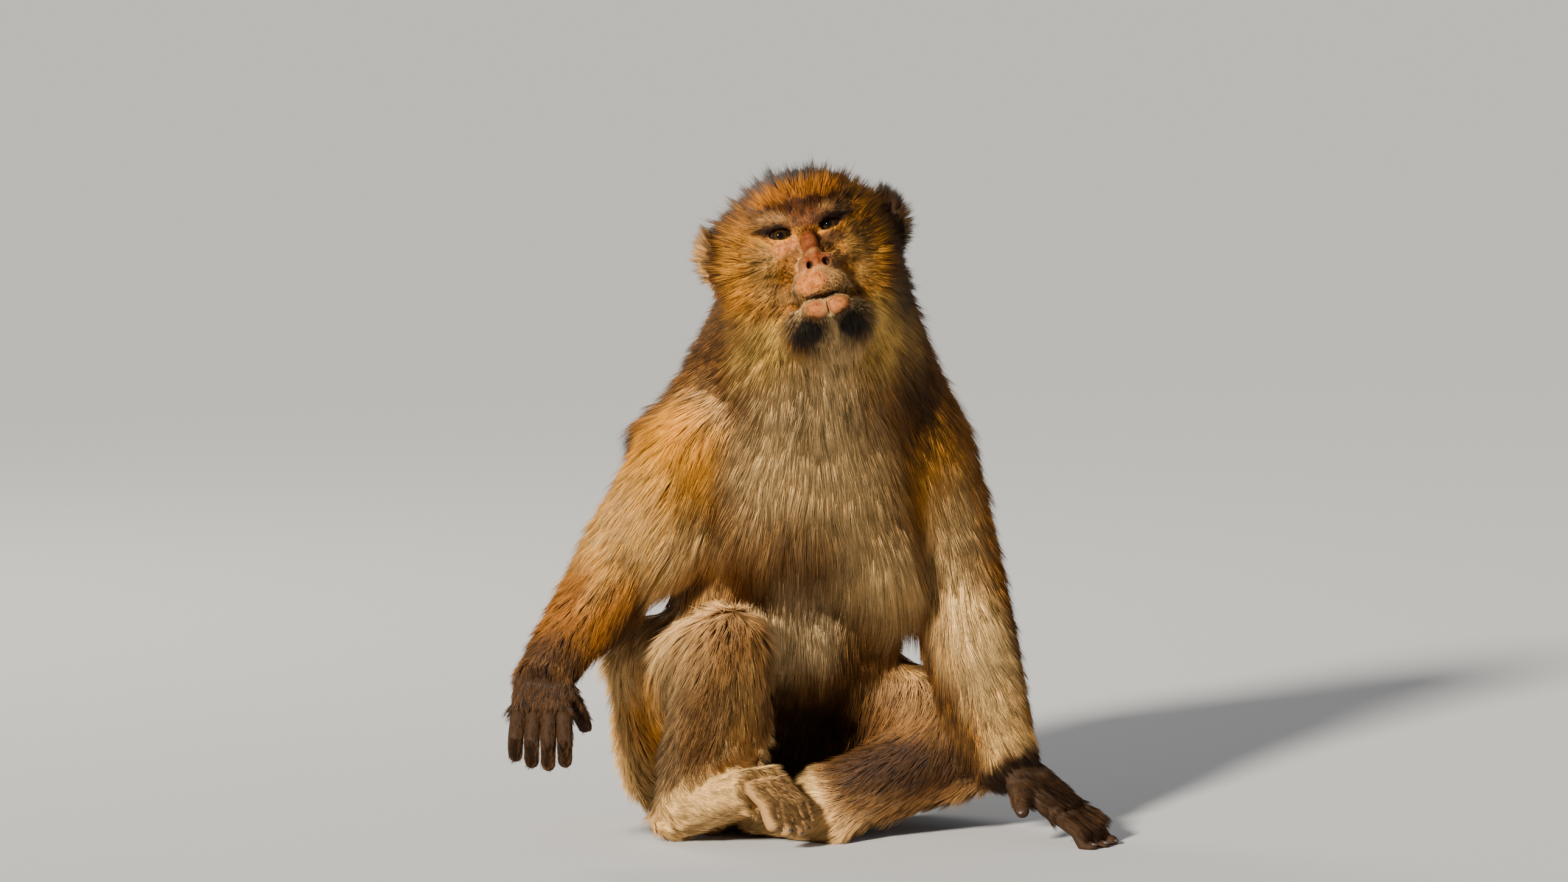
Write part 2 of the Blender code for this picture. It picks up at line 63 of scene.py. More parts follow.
ROOT_SEED, LOCK_SEED, TUFT_SEED, TONE_SEED = 101, 31, 11, 5
DIGITS = ("finger", "thumb", "toe", "hallux")
Array = np.ndarray
Colour = tuple[float, float, float]
Triple = tuple[float, float, float]


class Side(Enum):
    """The two sides of the animal, by the sign of its left-hand axis."""

    LEFT = 1
    RIGHT = -1

    @property
    def word(self) -> str:
        """The side as node names spell it."""
        return self.name.lower()


# --- small tools ------------------------------------------------------------------


def unit(vectors: Array) -> Array:
    """Scale vectors to unit length.

    Args:
        vectors: one vector or rows of them.

    Returns:
        The same directions, each of length one.
    """
    size = np.linalg.norm(vectors, axis=-1, keepdims=True)
    return vectors / np.maximum(size, 1e-9)


def ease(value: Array, low: float, high: float) -> Array:
    """Rise smoothly from 0 to 1 as a value goes from low to high.

    Args:
        value: the values to ease.
        low: where the rise starts; it may lie above high for a fall.
        high: where the rise ends.

    Returns:
        Shares from 0 to 1.
    """
    t = np.clip((value - low) / (high - low), 0.0, 1.0)
    return t * t * (3.0 - 2.0 * t)


@dataclass(frozen=True)
class Span:
    """A range over which something sets in; it may run downwards.

    Attributes:
        start: where it starts.
        end: where it is fully there.
    """

    start: float
    end: float

    def of(self, values: Array) -> Array:
        """How far values have come along the range, from 0 to 1."""
        return ease(values, self.start, self.end)


def soft(places: Array, middle: Any, reach: Triple, edge: Span) -> Array:
    """How fully a soft-edged ellipsoid covers places.

    Args:
        places: rows.
        middle: its middle.
        reach: its half sizes.
        edge: shares of the half sizes over which the cover sets in.

    Returns:
        Shares from 0 to 1.
    """
    return edge.of(np.linalg.norm((places - middle) / np.array(reach), axis=1))


def mesh_points(mesh: bpy.types.Mesh) -> Array:
    """The vertices of a mesh as rows."""
    points = np.empty(len(mesh.vertices) * 3, np.float32)
    mesh.vertices.foreach_get("co", points)
    return points.reshape(-1, 3).astype(float)


def set_points(mesh: bpy.types.Mesh, points: Array) -> None:
    """Move the vertices of a mesh to the places in rows."""
    mesh.vertices.foreach_set("co", points.astype(np.float32).ravel())


def mesh_triangles(mesh: bpy.types.Mesh) -> Array:
    """The triangles of a mesh as rows of vertex numbers."""
    mesh.calc_loop_triangles()
    corners = np.empty(len(mesh.loop_triangles) * 3, np.int32)
    mesh.loop_triangles.foreach_get("vertices", corners)
    return corners.reshape(-1, 3)


def finished(name: str, work: bmesh.types.BMesh) -> bpy.types.Mesh:
    """Turn a mesh being worked on into a plain mesh, and free the work."""
    mesh = bpy.data.meshes.new(name)
    work.to_mesh(mesh)
    work.free()
    return mesh


def link(name: str, data: bpy.types.ID) -> bpy.types.Object:
    """Put a mesh, lamp or camera in the scene as an object at the origin."""
    thing = bpy.data.objects.new(name, data)
    bpy.context.scene.collection.objects.link(thing)
    return thing


def tree_of(points: Array) -> KDTree:
    """A search tree of points, ready to find the nearest one."""
    tree = KDTree(len(points))
    for k, point in enumerate(points):
        tree.insert(point, k)
    tree.balance()
    return tree


def settle(thing: bpy.types.Object) -> bpy.types.Object:
    """Keep an object's evaluated mesh and drop its modifiers.

    Args:
        thing: the object to settle.

    Returns:
        The same object, with a plain mesh.
    """
    graph = bpy.context.evaluated_depsgraph_get()
    mesh = bpy.data.meshes.new_from_object(thing.evaluated_get(graph))
    old = thing.data
    thing.modifiers.clear()
    thing.data = mesh
    bpy.data.meshes.remove(old)
    return thing


def put(mesh: bpy.types.Mesh, name: str, values: Array, kind: str) -> None:
    """Store rows of values on a mesh's points.

    Args:
        mesh: the mesh that takes them.
        name: the attribute's name.
        values: one row for each point.
        kind: FLOAT, INT, FLOAT_VECTOR or FLOAT_COLOR.
    """
    if kind == "FLOAT_COLOR":
        values = np.concatenate([values, np.ones((len(values), 1))], axis=1)
    attribute = mesh.attributes.new(name, kind, "POINT")
    slot = {"FLOAT": "value", "INT": "value", "FLOAT_VECTOR": "vector", "FLOAT_COLOR": "color"}[kind]
    dtype = np.int32 if kind == "INT" else np.float32
    attribute.data.foreach_set(slot, np.ascontiguousarray(values, dtype).ravel())


class Web:
    """The edges of a mesh, along which values are evened out."""

    def __init__(self, mesh: bpy.types.Mesh) -> None:
        """Read the edges of a mesh."""
        ends = np.empty(len(mesh.edges) * 2, np.int32)
        mesh.edges.foreach_get("vertices", ends)
        self.a, self.b = ends.reshape(-1, 2).T
        self.count = len(mesh.vertices)
        self.degree = np.maximum(np.bincount(ends, minlength=self.count), 1)

    def mean(self, values: Array) -> Array:
        """The mean of each point's neighbours."""
        rows = values.reshape(self.count, -1)
        out = np.empty_like(rows)
        for k in range(rows.shape[1]):
            column = rows[:, k]
            total = np.bincount(self.a, column[self.b], self.count)
            total += np.bincount(self.b, column[self.a], self.count)
            out[:, k] = total / self.degree
        return out.reshape(values.shape)

    def even(self, values: Array, rounds: int, share: Array | float = 0.5) -> Array:
        """Even values out along the edges.

        Args:
            values: one row for each point.
            rounds: how often to repeat it.
            share: how far each point moves towards its neighbours.

        Returns:
            The evened values.
        """
        if isinstance(share, np.ndarray) and values.ndim > 1:
            share = share[:, None]
        for _ in range(rounds):
            values = values + (self.mean(values) - values) * share
        return values


def normals_of(points: Array, triangles: Array) -> Array:
    """Outward normals at the points of a surface.

    Args:
        points: vertex rows.
        triangles: rows of vertex numbers.

    Returns:
        One unit normal for each point.
    """
    a, b, c = (points[triangles[:, k]] for k in range(3))
    face = np.cross(b - a, c - a)
    out = np.zeros_like(points)
    for k in range(3):
        for axis in range(3):
            out[:, axis] += np.bincount(triangles[:, k], face[:, axis], len(points))
    return unit(out)


# --- anatomy read from the solids ---------------------------------------------------


@dataclass
class Anatomy:
    """Where the parts of the animal are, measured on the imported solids.

    Attributes:
        yaw: how far the head turns to its left, degrees.
        pitch: how far the face looks up, degrees.
        roll: how far the head leans to its left, degrees.
        set_back: how far an eyeball's middle lies behind the point between the eyes, mm.
    """

    nodes: dict[str, bpy.types.Object]
    yaw: float = 0.0
    pitch: float = 15.0
    roll: float = 13.5
    set_back: float = 9.0
    points: dict[str, Array] = field(default_factory=dict)

    def __post_init__(self) -> None:
        """Read every node's points and set up the head's frame."""
        for name, thing in self.nodes.items():
            self.points[name] = mesh_points(thing.data)
        turn = (Matrix.Rotation(math.radians(self.yaw), 3, "Z")
                @ Matrix.Rotation(math.radians(-self.pitch), 3, "X")
                @ Matrix.Rotation(math.radians(-self.roll), 3, "Y"))
        self.head_axes = np.array(turn)
        middle = (self.middle("eye_left") + self.middle("eye_right")) / 2
        self.between_eyes = middle - self.head_axes[:, 1] * self.set_back * MM

    @property
    def flesh(self) -> list[str]:
        """The nodes that the skin covers."""
        return [name for name in self.nodes if not name.startswith("eye_")]

    @property
    def digits(self) -> list[str]:
        """Fingers, thumbs and toes."""
        return [name for name in self.nodes
                if name.split("_")[0] in DIGITS]

    def box(self, node: str) -> tuple[Array, Array]:
        """The low and the high corner of a node's box."""
        points = self.points[node]
        return points.min(0), points.max(0)

    def middle(self, node: str) -> Array:
        """The middle of a node's box."""
        low, high = self.box(node)
        return (low + high) / 2

    def near(self, node: str, points: Array) -> Array:
        """How near points lie to a node's box, from 1 inside it to 0 a little way off."""
        low, high = self.box(node)
        beyond = np.maximum(np.maximum(low - points, points - high), 0)
        return ease(np.linalg.norm(beyond, axis=1), 6 * MM, 2 * MM)

    def in_head(self, points: Array) -> Array:
        """Turn points of the model into millimetres along the head's axes."""
        return (points - self.between_eyes) @ self.head_axes / MM

    def from_head(self, places: Array) -> Array:
        """Turn millimetres along the head's axes into points of the model."""
        return self.between_eyes + (np.asarray(places) * MM) @ self.head_axes.T

    def seam(self, one: str, other: str, reach: float = 3.0) -> Array:
        """The middle of the cut between two neighbouring nodes.

        Args:
            one: a node.
            other: its neighbour.
            reach: how near a point lies to the neighbour to count, mm.

        Returns:
            A point of the model.
        """
        tree = tree_of(self.points[other])
        near = [point for point in self.points[one] if tree.find(point)[2] < reach * MM]
        if not near:
            return (self.middle(one) + self.middle(other)) / 2
        return np.mean(near, axis=0)

    def far_end(self, node: str, start: Array, share: float = 0.15) -> Array:
        """The middle of the points of a node that lie farthest from a place."""
        points = self.points[node]
        distance = np.linalg.norm(points - start, axis=1)
        return points[distance >= np.quantile(distance, 1 - share)].mean(axis=0)

    def rings(self, node: str) -> list[Array]:
        """The middles of a digit's rings, from its root to its tip."""
        part = bmesh.new()
        part.from_mesh(self.nodes[node].data)
        bmesh.ops.remove_doubles(part, verts=part.verts[:], dist=1e-5)
        palm = Vector(self.middle(self.palm(node)))
        first = min((vertex.co - palm).length for vertex in part.verts)
        level = {v: 0 for v in part.verts if (v.co - palm).length < first + 4 * MM}
        front, step = list(level), 0
        while front:
            step += 1
            front = [other for vertex in front for edge in vertex.link_edges
                     for other in [edge.other_vert(vertex)] if other not in level]
            front = list(dict.fromkeys(front))
            level.update({vertex: step for vertex in front})
        found = [[np.array(v.co) for v, k in level.items() if k == n] for n in range(step)]
        part.free()
        return [np.mean(ring, axis=0) for ring in found if ring]

    @staticmethod
    def palm(node: str) -> str:
        """The palm or sole that a digit grows from."""
        return ("hand_" if node.startswith(("finger", "thumb")) else "foot_") + node.split("_")[1]

    def back_of(self, node: str) -> Array:
        """Which way the back of a digit faces: against its curl, or upwards where it is straight."""
        rings = self.rings(node)
        ahead = unit(rings[-1] - rings[-3])
        curl = unit(rings[3] - rings[2]) - unit(rings[2] - rings[1])
        back = -curl if np.linalg.norm(curl) > 0.1 else np.array([0, 0, 1.0])
        return unit(back - ahead * (back @ ahead))

    def limbs(self) -> dict[str, Array]:
        """The joints of arms and legs, by name."""
        found = {}
        for side in Side:
            word = side.word
            found["elbow_" + word] = self.seam("upper_arm_" + word, "forearm_" + word)
            found["wrist_" + word] = self.seam("forearm_" + word, "hand_" + word)
            found["knee_" + word] = self.seam("thigh_" + word, "shin_" + word)
            found["ankle_" + word] = self.seam("shin_" + word, "foot_" + word)
            found["shoulder_" + word] = self.far_end("upper_arm_" + word, found["elbow_" + word])
            found["hip_" + word] = self.far_end("thigh_" + word, found["knee_" + word])
            found["knuckles_" + word] = np.mean(
                [self.middle("finger_%s_%d" % (word, k)) for k in (1, 2, 3, 4)], axis=0)
            found["ball_" + word] = np.mean(
                [self.middle("toe_%s_%d" % (word, k)) for k in (1, 2, 3, 4)], axis=0)
        return found


# --- the face, as soft masses --------------------------------------------------------


@dataclass(frozen=True)
class Mass:
    """An egg-shaped mass of the face, in mm along the head's axes.

    Attributes:
        place: its middle.
        radii: its half sizes.
        blend: how softly it runs into what it meets.
        turn: how far it is turned about the back axis, degrees.
        hollow: whether it is scooped out rather than added.
    """

    place: Triple
    radii: Triple
    blend: float = 5.0
    turn: float = 0.0
    hollow: bool = False

    def distance(self, places: Array) -> Array:
        """How far places lie outside the mass, in mm, roughly."""
        local = places - self.place
        if self.turn:
            c, s = math.cos(math.radians(self.turn)), math.sin(math.radians(self.turn))
            local = local @ np.array([[c, 0, s], [0, 1, 0], [-s, 0, c]])
        radii = np.array(self.radii)
        inner = np.linalg.norm(local / radii, axis=1)
        outer = np.linalg.norm(local / radii ** 2, axis=1)
        return inner * (inner - 1.0) / np.maximum(outer, 1e-6)

    def mirrored(self) -> "Mass":
        """The same mass on the other side of the face."""
        left, back, up = self.place
        return Mass((-left, back, up), self.radii, self.blend, -self.turn, self.hollow)


@dataclass(frozen=True)
class Dent:
    """A hollow pressed into the front of the face, in mm along the head's axes.

    Attributes:
        place: its middle, across and up.
        reach: its half sizes, across and up.
        depth: how deep it goes.
        turn: how far it is turned, degrees.
        bend: how much its ends droop, 1/mm.
    """

    place: tuple[float, float]
    reach: tuple[float, float]
    depth: float
    turn: float = 0.0
    bend: float = 0.0

    def press(self, places: Array) -> Array:
        """How far the dent presses places back, mm."""
        x, z = places[:, 0] - self.place[0], places[:, 2] - self.place[1]
        c, s = math.cos(math.radians(self.turn)), math.sin(math.radians(self.turn))
        along, up = x * c + z * s, z * c - x * s
        up = up + self.bend * along ** 2
        away = np.sqrt((along / self.reach[0]) ** 2 + (up / self.reach[1]) ** 2)
        return self.depth * ease(away, 1.0, 0.3)


DENTS = [
    Dent((-4.8, -35.0), (2.6, 3.6), 6.5, turn=-28),
    Dent((8.6, -34.5), (3.4, 4.0), 7.0, turn=24),
    Dent((1.6, -45), (1.3, 7.0), 0.9),
    Dent((0, -60.0), (25, 1.9), 4.0, bend=0.010),
    Dent((-1, -60.8), (13, 3.2), 7.0, bend=0.006),
    Dent((1.8, -71), (1.7, 8), 3.0),
    Dent((-8, -14), (3, 9), 0.8, turn=-20),
    Dent((10, -14), (3, 9), 0.8, turn=20),
    Dent((-19, -9), (9, 0.9), 0.7, bend=0.012),
    Dent((19, -9), (9, 0.9), 0.7, bend=0.012),
    Dent((0, 9.5), (1.2, 4), 0.8),
    Dent((-4, 9), (1.0, 4), 0.6, turn=12),
]


@dataclass
class Face:
    """The face's own forms: brow, sockets, lids, nose, lips and chin.

    Attributes:
        eye_apart: from the middle of the face to an eye, mm.
        eye_back: from the point between the eyes back to an eyeball's middle, mm.
        eye_radius: the eyeball's radius, mm.
        lid: thickness of an eyelid, mm.
        reach: how far from the nose the forms are followed, mm.
        fading: over how much of that they fade out, mm.
        nose: the middle of the reach.
        stretch: how much further it goes along each axis.
        sides: how far back the forms are followed, mm.
        probe: how far apart the slope of the forms is measured, mm.
        flattest: the least slope, squared, that a step is reckoned with.
        farthest: the longest step towards the forms, mm.
        shift: where the forms' own middle lies from the point between the solids' eyes, mm.
    """

    eye_apart: float = 19.5
    eye_back: float = 11.0
    eye_radius: float = 10.0
    lid: float = 1.3
    reach: float = 66.0
    fading: float = 20.0
    nose: Triple = (0, -16, -32)
    stretch: Triple = (1.0, 1.25, 1.15)
    sides: Span = Span(30, 10)
    probe: float = 0.15
    flattest: float = 0.15
    farthest: float = 3.0
    shift: Triple = (-1.2, 0.0, -2.5)

    def pairs(self) -> list[Mass]:
        """Masses that lie on both sides of the face, as they stand on its left."""
        eye = (self.eye_apart, self.eye_back, 0.0)
        shell = self.eye_radius + self.lid
        return [
            Mass((36, 42, -22), (33, 33, 36), 16),
            Mass((34, 48, -54), (31, 32, 30), 16),
            Mass((21, 3, 10.5), (19, 14, 7), 7, turn=-8),
            Mass((8, 5, 8), (11, 14, 7), 6),
            Mass((30, 11, -16), (17, 14, 14), 9),
            Mass((16, 8, -12), (14, 9, 6), 6),
            Mass(eye, (shell, shell, shell), 3),
            Mass((19.5, 0, -0.2), (9.4, 11, 4.4), 0.9, turn=-8, hollow=True),
            Mass((8.5, -6, -50), (12, 22, 12), 6),
            Mass((8, -26, -51), (11, 9, 8), 6),
            Mass((9.6, -29.0, -70), (10, 9, 7.5), 5.0),
        ]

    def singles(self) -> list[Mass]:
        """Masses on the middle of the face."""
        return [
            Mass((0, 58, 9), (61, 59, 53), 10),
            Mass((0, 34, 18), (51, 38, 36), 12),
            Mass((0, 3, -4), (7, 9, 12), 6),
            Mass((0.5, -7, -16), (7, 11, 12), 6),
            Mass((1, -18, -26), (6.5, 12, 8), 4),
            Mass((1.2, -27, -34), (3.6, 6.6, 4.5), 2.4),
            Mass((9.6, -23, -32), (5.2, 8, 5.2), 2.8),
            Mass((-7.2, -23, -32), (5.2, 8, 5.2), 2.8),
            Mass((0, -8, -41), (14, 24, 16), 8),
            Mass((0, -15, -46), (13, 20, 10), 7),
            Mass((-0.5, -14, -52), (17, 22, 9), 6),
            Mass((0, -12, -72), (19, 23, 11), 6),
            Mass((0, 8, -78), (33, 33, 22), 12),
        ]

    def masses(self) -> list[Mass]:
        """Every mass, the added ones first."""
        every = self.singles()
        for mass in self.pairs():
            every += [mass, mass.mirrored()]
        return sorted(every, key=lambda mass: mass.hollow)

    def distance(self, places: Array) -> Array:
        """How far places lie outside the face, in mm.

        Args:
            places: rows in mm along the head's axes.

        Returns:
            Signed distances, negative inside.
        """
        places = places - self.shift
        total = np.full(len(places), 1e3)
        for mass in self.masses():
            part = mass.distance(places)
            if mass.hollow:
                gap = np.maximum(mass.blend - np.abs(total + part), 0) / mass.blend
                total = np.maximum(total, -part) + gap * gap * mass.blend / 4
            else:
                gap = np.maximum(mass.blend - np.abs(total - part), 0) / mass.blend
                total = np.minimum(total, part) - gap * gap * mass.blend / 4
        return total

    def pull(self, places: Array) -> Array:
        """Move places onto the face along the steepest way.

        Args:
            places: rows in mm along the head's axes.

        Returns:
            Where each one lands, limited to a short step.
        """
        here = self.distance(places)
        slope = np.empty_like(places)
        for axis in range(3):
            offset = np.zeros(3)
            offset[axis] = self.probe
            slope[:, axis] = (self.distance(places + offset) - here) / self.probe
        size = np.maximum((slope ** 2).sum(1), self.flattest)
        move = -slope * (here / size)[:, None]
        length = np.linalg.norm(move, axis=1, keepdims=True)
        return places + move * np.minimum(1.0, self.farthest / np.maximum(length, 1e-6))

    def share(self, places: Array) -> Array:
        """How fully places follow the face's forms, from 0 to 1."""
        near = soft(places, self.nose, self.stretch, Span(self.reach, self.reach - self.fading))
        return near * self.sides.of(places[:, 1])

    def detail(self, places: Array) -> Array:
        """How finely the mesh is wanted at places, from 0 to 1."""
        fine = np.zeros(len(places))
        spots = [((self.eye_apart, 0, 0), 15), ((-self.eye_apart, 0, 0), 15),
                 ((0, -30, -32), 15), ((0, -40, -60), 24)]
        for place, reach in spots:
            away = np.linalg.norm(places - place, axis=1)
            fine = np.maximum(fine, ease(away, reach + 5, reach - 2))
        return fine


# --- how the coat grows ----------------------------------------------------------------


@dataclass(frozen=True)
class Growth:
    """How the coat grows on one part of the body.

    Attributes:
        depth: from the skin up to the tips, mm.
        length: of a tuft, mm.
        width: of a tuft, mm.
        thick: how closely tufts stand, against the other parts.
        fleck: how much neighbouring tufts differ in tone.
        hair: the coat's colour.
        tips: the colour of its tips.
    """

    depth: float
    length: float
    width: float
    thick: float
    fleck: float
    hair: Colour
    tips: Colour


GOLD_TIP = (0.88, 0.37, 0.03)
OCHRE = (0.50, 0.19, 0.018)
BROWN = (0.28, 0.115, 0.024)
UMBER = (0.14, 0.058, 0.016)
DARK = (0.050, 0.024, 0.010)
BLACK = (0.014, 0.010, 0.007)
CREAM = (0.88, 0.58, 0.24)
BUFF = (0.58, 0.33, 0.11)
TAN = (0.52, 0.28, 0.10)
GREY_BROWN = (0.36, 0.20, 0.08)
PINK = (0.32, 0.085, 0.020)
PALE_PINK = (0.42, 0.165, 0.045)
HIDE = (0.060, 0.034, 0.022)

GROWTH: dict[str, Growth] = {
    "head": Growth(7.0, 18, 0.9, 1.0, 1.0, OCHRE, DARK),
    "muzzle": Growth(0.3, 3.0, 0.30, 1.9, 0.9, (0.44, 0.22, 0.07), TAN),
    "jaw": Growth(1.0, 9.0, 0.40, 1.6, 0.8, BUFF, CREAM),
    "ear": Growth(0.0, 16, 0.40, 4.0, 0.8, UMBER, BUFF),
    "neck": Growth(9.0, 34, 0.75, 0.95, 0.6, OCHRE, BUFF),
    "chest": Growth(8.0, 34, 0.80, 0.85, 0.55, BROWN, DARK),
    "abdomen": Growth(8.0, 32, 0.85, 0.85, 0.55, BROWN, DARK),
    "pelvis": Growth(7.0, 27, 0.95, 0.6, 0.4, BROWN, BROWN),
    "seat": Growth(0.3, 3.0, 0.8, 0.0, 0.0, HIDE, HIDE),
    "tail": Growth(1.5, 14, 0.8, 1.2, 0.6, BROWN, DARK),
    "upper": Growth(8.0, 30, 0.80, 0.95, 0.7, OCHRE, DARK),
    "forearm": Growth(5.0, 22, 0.75, 1.0, 0.8, OCHRE, DARK),
    "hand": Growth(1.6, 13, 0.5, 1.6, 0.8, DARK, (0.12, 0.050, 0.015)),
    "finger": Growth(0.0, 9.0, 0.40, 3.4, 0.5, DARK, UMBER),
    "thumb": Growth(0.0, 8.0, 0.40, 3.0, 0.5, DARK, UMBER),
    "thigh": Growth(7.0, 27, 0.9, 0.8, 0.5, BUFF, CREAM),
    "shin": Growth(5.0, 20, 0.75, 1.0, 0.7, GREY_BROWN, BUFF),
    "foot": Growth(1.6, 13, 0.55, 1.8, 0.6, (0.80, 0.47, 0.16), CREAM),
    "toe": Growth(0.0, 9.0, 0.45, 4.2, 0.6, TAN, BUFF),
    "hallux": Growth(0.0, 9.0, 0.45, 3.6, 0.6, TAN, BUFF),
}


# Soft edges of the colour patches (markings, painted shade and painted light), of the bare patches and of
# the fringes.
COLOUR_PATCH_EDGE, BARE_EDGE, FRINGE_EDGE = Span(1.25, 0.6), Span(1.25, 0.75), Span(1.2, 0.7)


@dataclass(frozen=True)
class ColourPatch:
    """A soft-edged patch of colour on the coat or on bare skin: a marking, painted shade or painted
    light.

    Attributes:
        place: its middle, mm, along the model's axes or the head's.
        reach: its half sizes, mm.
        hair: its colour.
        tips: the colour of the tips, or None to keep what is there.
        strength: how much it covers.
        both: whether it is repeated on the animal's other side.
    """

    place: Triple
    reach: Triple
    hair: Colour
    tips: Colour | None = None
    strength: float = 1.0
    both: bool = False

    def cover(self, places: Array) -> Array:
        """How fully the patch covers places of its frame, from 0 to 1."""
        cover = np.zeros(len(places))
        for sign in (1, -1) if self.both else (1,):
            middle = np.array(self.place) * (sign, 1, 1)
            cover = np.maximum(cover, soft(places, middle, self.reach, COLOUR_PATCH_EDGE))
        return cover * self.strength


# The body's patches of colour, in mm along the model's axes: the coat's own markings, painted shade on
# the shaded left leg, left shoulder and neck, in creases and gaps, and painted sunlight on the right
# upper arm.
BODY_MARKINGS_SHADE_AND_LIGHT = [ColourPatch(*row) for row in (
    ((0, 130, 300), (130, 80, 150), (0.42, 0.17, 0.025), DARK, 0.9),
    ((-4, -50, 300), (66, 60, 56), (0.88, 0.56, 0.22), CREAM),
    ((-4, -70, 352), (48, 60, 40), (0.92, 0.62, 0.26), CREAM),
    ((-78, -50, 350), (26, 60, 26), (0.70, 0.42, 0.16), TAN, 0.8),
    ((-26, -50, 246), (44, 50, 26), (0.26, 0.11, 0.02), TAN, 0.85),
    ((48, -40, 214), (32, 50, 52), (0.92, 0.60, 0.24), CREAM),
    ((-8, -30, 180), (36, 60, 36), (0.98, 0.68, 0.32), (0.98, 0.70, 0.36)),
    # Painted shade: this row and the next darken the folded left leg, which lies in deep shade.
    ((40, -10, 96), (56, 66, 40), UMBER, BROWN, 0.9),
    ((70, -20, 60), (78, 110, 52), (0.17, 0.075, 0.020), BROWN, 0.9),
    # Painted shadow and shade: the head's cast shadow on the left shoulder, then the shaded left side of
    # the neck.
    ((88, -30, 346), (30, 60, 26), (0.10, 0.05, 0.016), DARK, 0.9),
    ((72, 20, 386), (30, 80, 44), (0.07, 0.030, 0.010), DARK, 0.9),
    # Partly painted sunlight: the right upper arm's own gold coat, made brighter and more golden as the
    # lit side.
    ((-104, -20, 312), (40, 66, 44), (0.78, 0.31, 0.012), (0.85, 0.36, 0.02)),
    ((-134, -34, 256), (42, 60, 40), (0.86, 0.44, 0.07), CREAM, 0.85),
    ((-90, -50, 236), (30, 60, 30), (0.74, 0.45, 0.15), CREAM, 0.8),
    ((-124, 60, 318), (36, 40, 60), (0.40, 0.15, 0.02), DARK, 0.9),
    ((-176, -76, 192), (40, 60, 34), (0.20, 0.066, 0.004), (0.34, 0.12, 0.010), 0.95),
    ((-202, -104, 150), (34, 64, 26), (0.090, 0.038, 0.010), DARK, 0.95),
    # Painted shade: the underside of the right forearm, dark as shade above the haunch.
    ((-140, -40, 182), (20, 40, 22), (0.16, 0.06, 0.012), DARK, 0.8),
    ((-209, -150, 112), (36, 46, 32), (0.05, 0.022, 0.010), DARK, 0.97),
    # Painted shade: the front of the folded left leg, nearly black as deep shade.
    ((70, -44, 60), (60, 46, 40), (0.032, 0.013, 0.004), (0.060, 0.024, 0.007), 0.95),
    ((-4, -70, 382), (50, 60, 30), (0.98, 0.68, 0.32), (0.98, 0.70, 0.36)),
    ((96, -10, 288), (26, 60, 30), (0.86, 0.40, 0.05), GOLD_TIP, 0.9),
    ((104, 4, 232), (27, 60, 56), (0.92, 0.58, 0.22), CREAM),
    ((128, -22, 160), (24, 60, 58), (0.95, 0.62, 0.24), CREAM),
    ((148, -50, 92), (20, 50, 34), (0.86, 0.50, 0.15), CREAM, 0.95),
    # Partly painted shade: the left arm's outer edge, black from its own dark tips and from shade.
    ((160, 20, 220), (14, 70, 130), (0.14, 0.06, 0.014), BLACK, 0.9),
    ((-164, 0, 108), (22, 70, 62), (0.74, 0.44, 0.15), CREAM, 0.95),
    ((-138, -10, 92), (15, 60, 62), (0.74, 0.28, 0.025), GOLD_TIP, 0.95),
    # Painted shade: a dark strip in the gap beside the right thigh.
    ((-114, -20, 96), (12, 50, 56), (0.10, 0.05, 0.02), DARK, 0.9),
    # Painted shade: darker coat above the right knee, as the chest's shade.
    ((-62, -90, 166), (34, 50, 26), (0.20, 0.085, 0.016), BROWN, 0.9),
    ((-88, -95, 100), (18, 40, 48), (0.22, 0.10, 0.025), BROWN, 0.9),
    ((-58, -100, 110), (11, 40, 44), (0.50, 0.24, 0.05), BUFF, 0.8),
    # Painted shade: a dark strip beside the right shin.
    ((-32, -60, 112), (13, 60, 50), (0.16, 0.07, 0.02), BROWN, 0.9),
    # Painted shade: two dark streaks along the crease between the chest's lobes and down the belly.
    ((15, -50, 226), (4, 60, 44), (0.07, 0.03, 0.010), DARK, 0.9),
    ((27, -50, 160), (5, 60, 36), (0.09, 0.04, 0.012), DARK, 0.8),
    # Painted shade: two thin dark streaks in the folds of the coat on the right shoulder.
    ((-78, -60, 366), (22, 60, 4), (0.10, 0.045, 0.012), DARK, 0.85),
    ((-84, -60, 353), (18, 60, 3), (0.10, 0.045, 0.012), DARK, 0.75),
)]
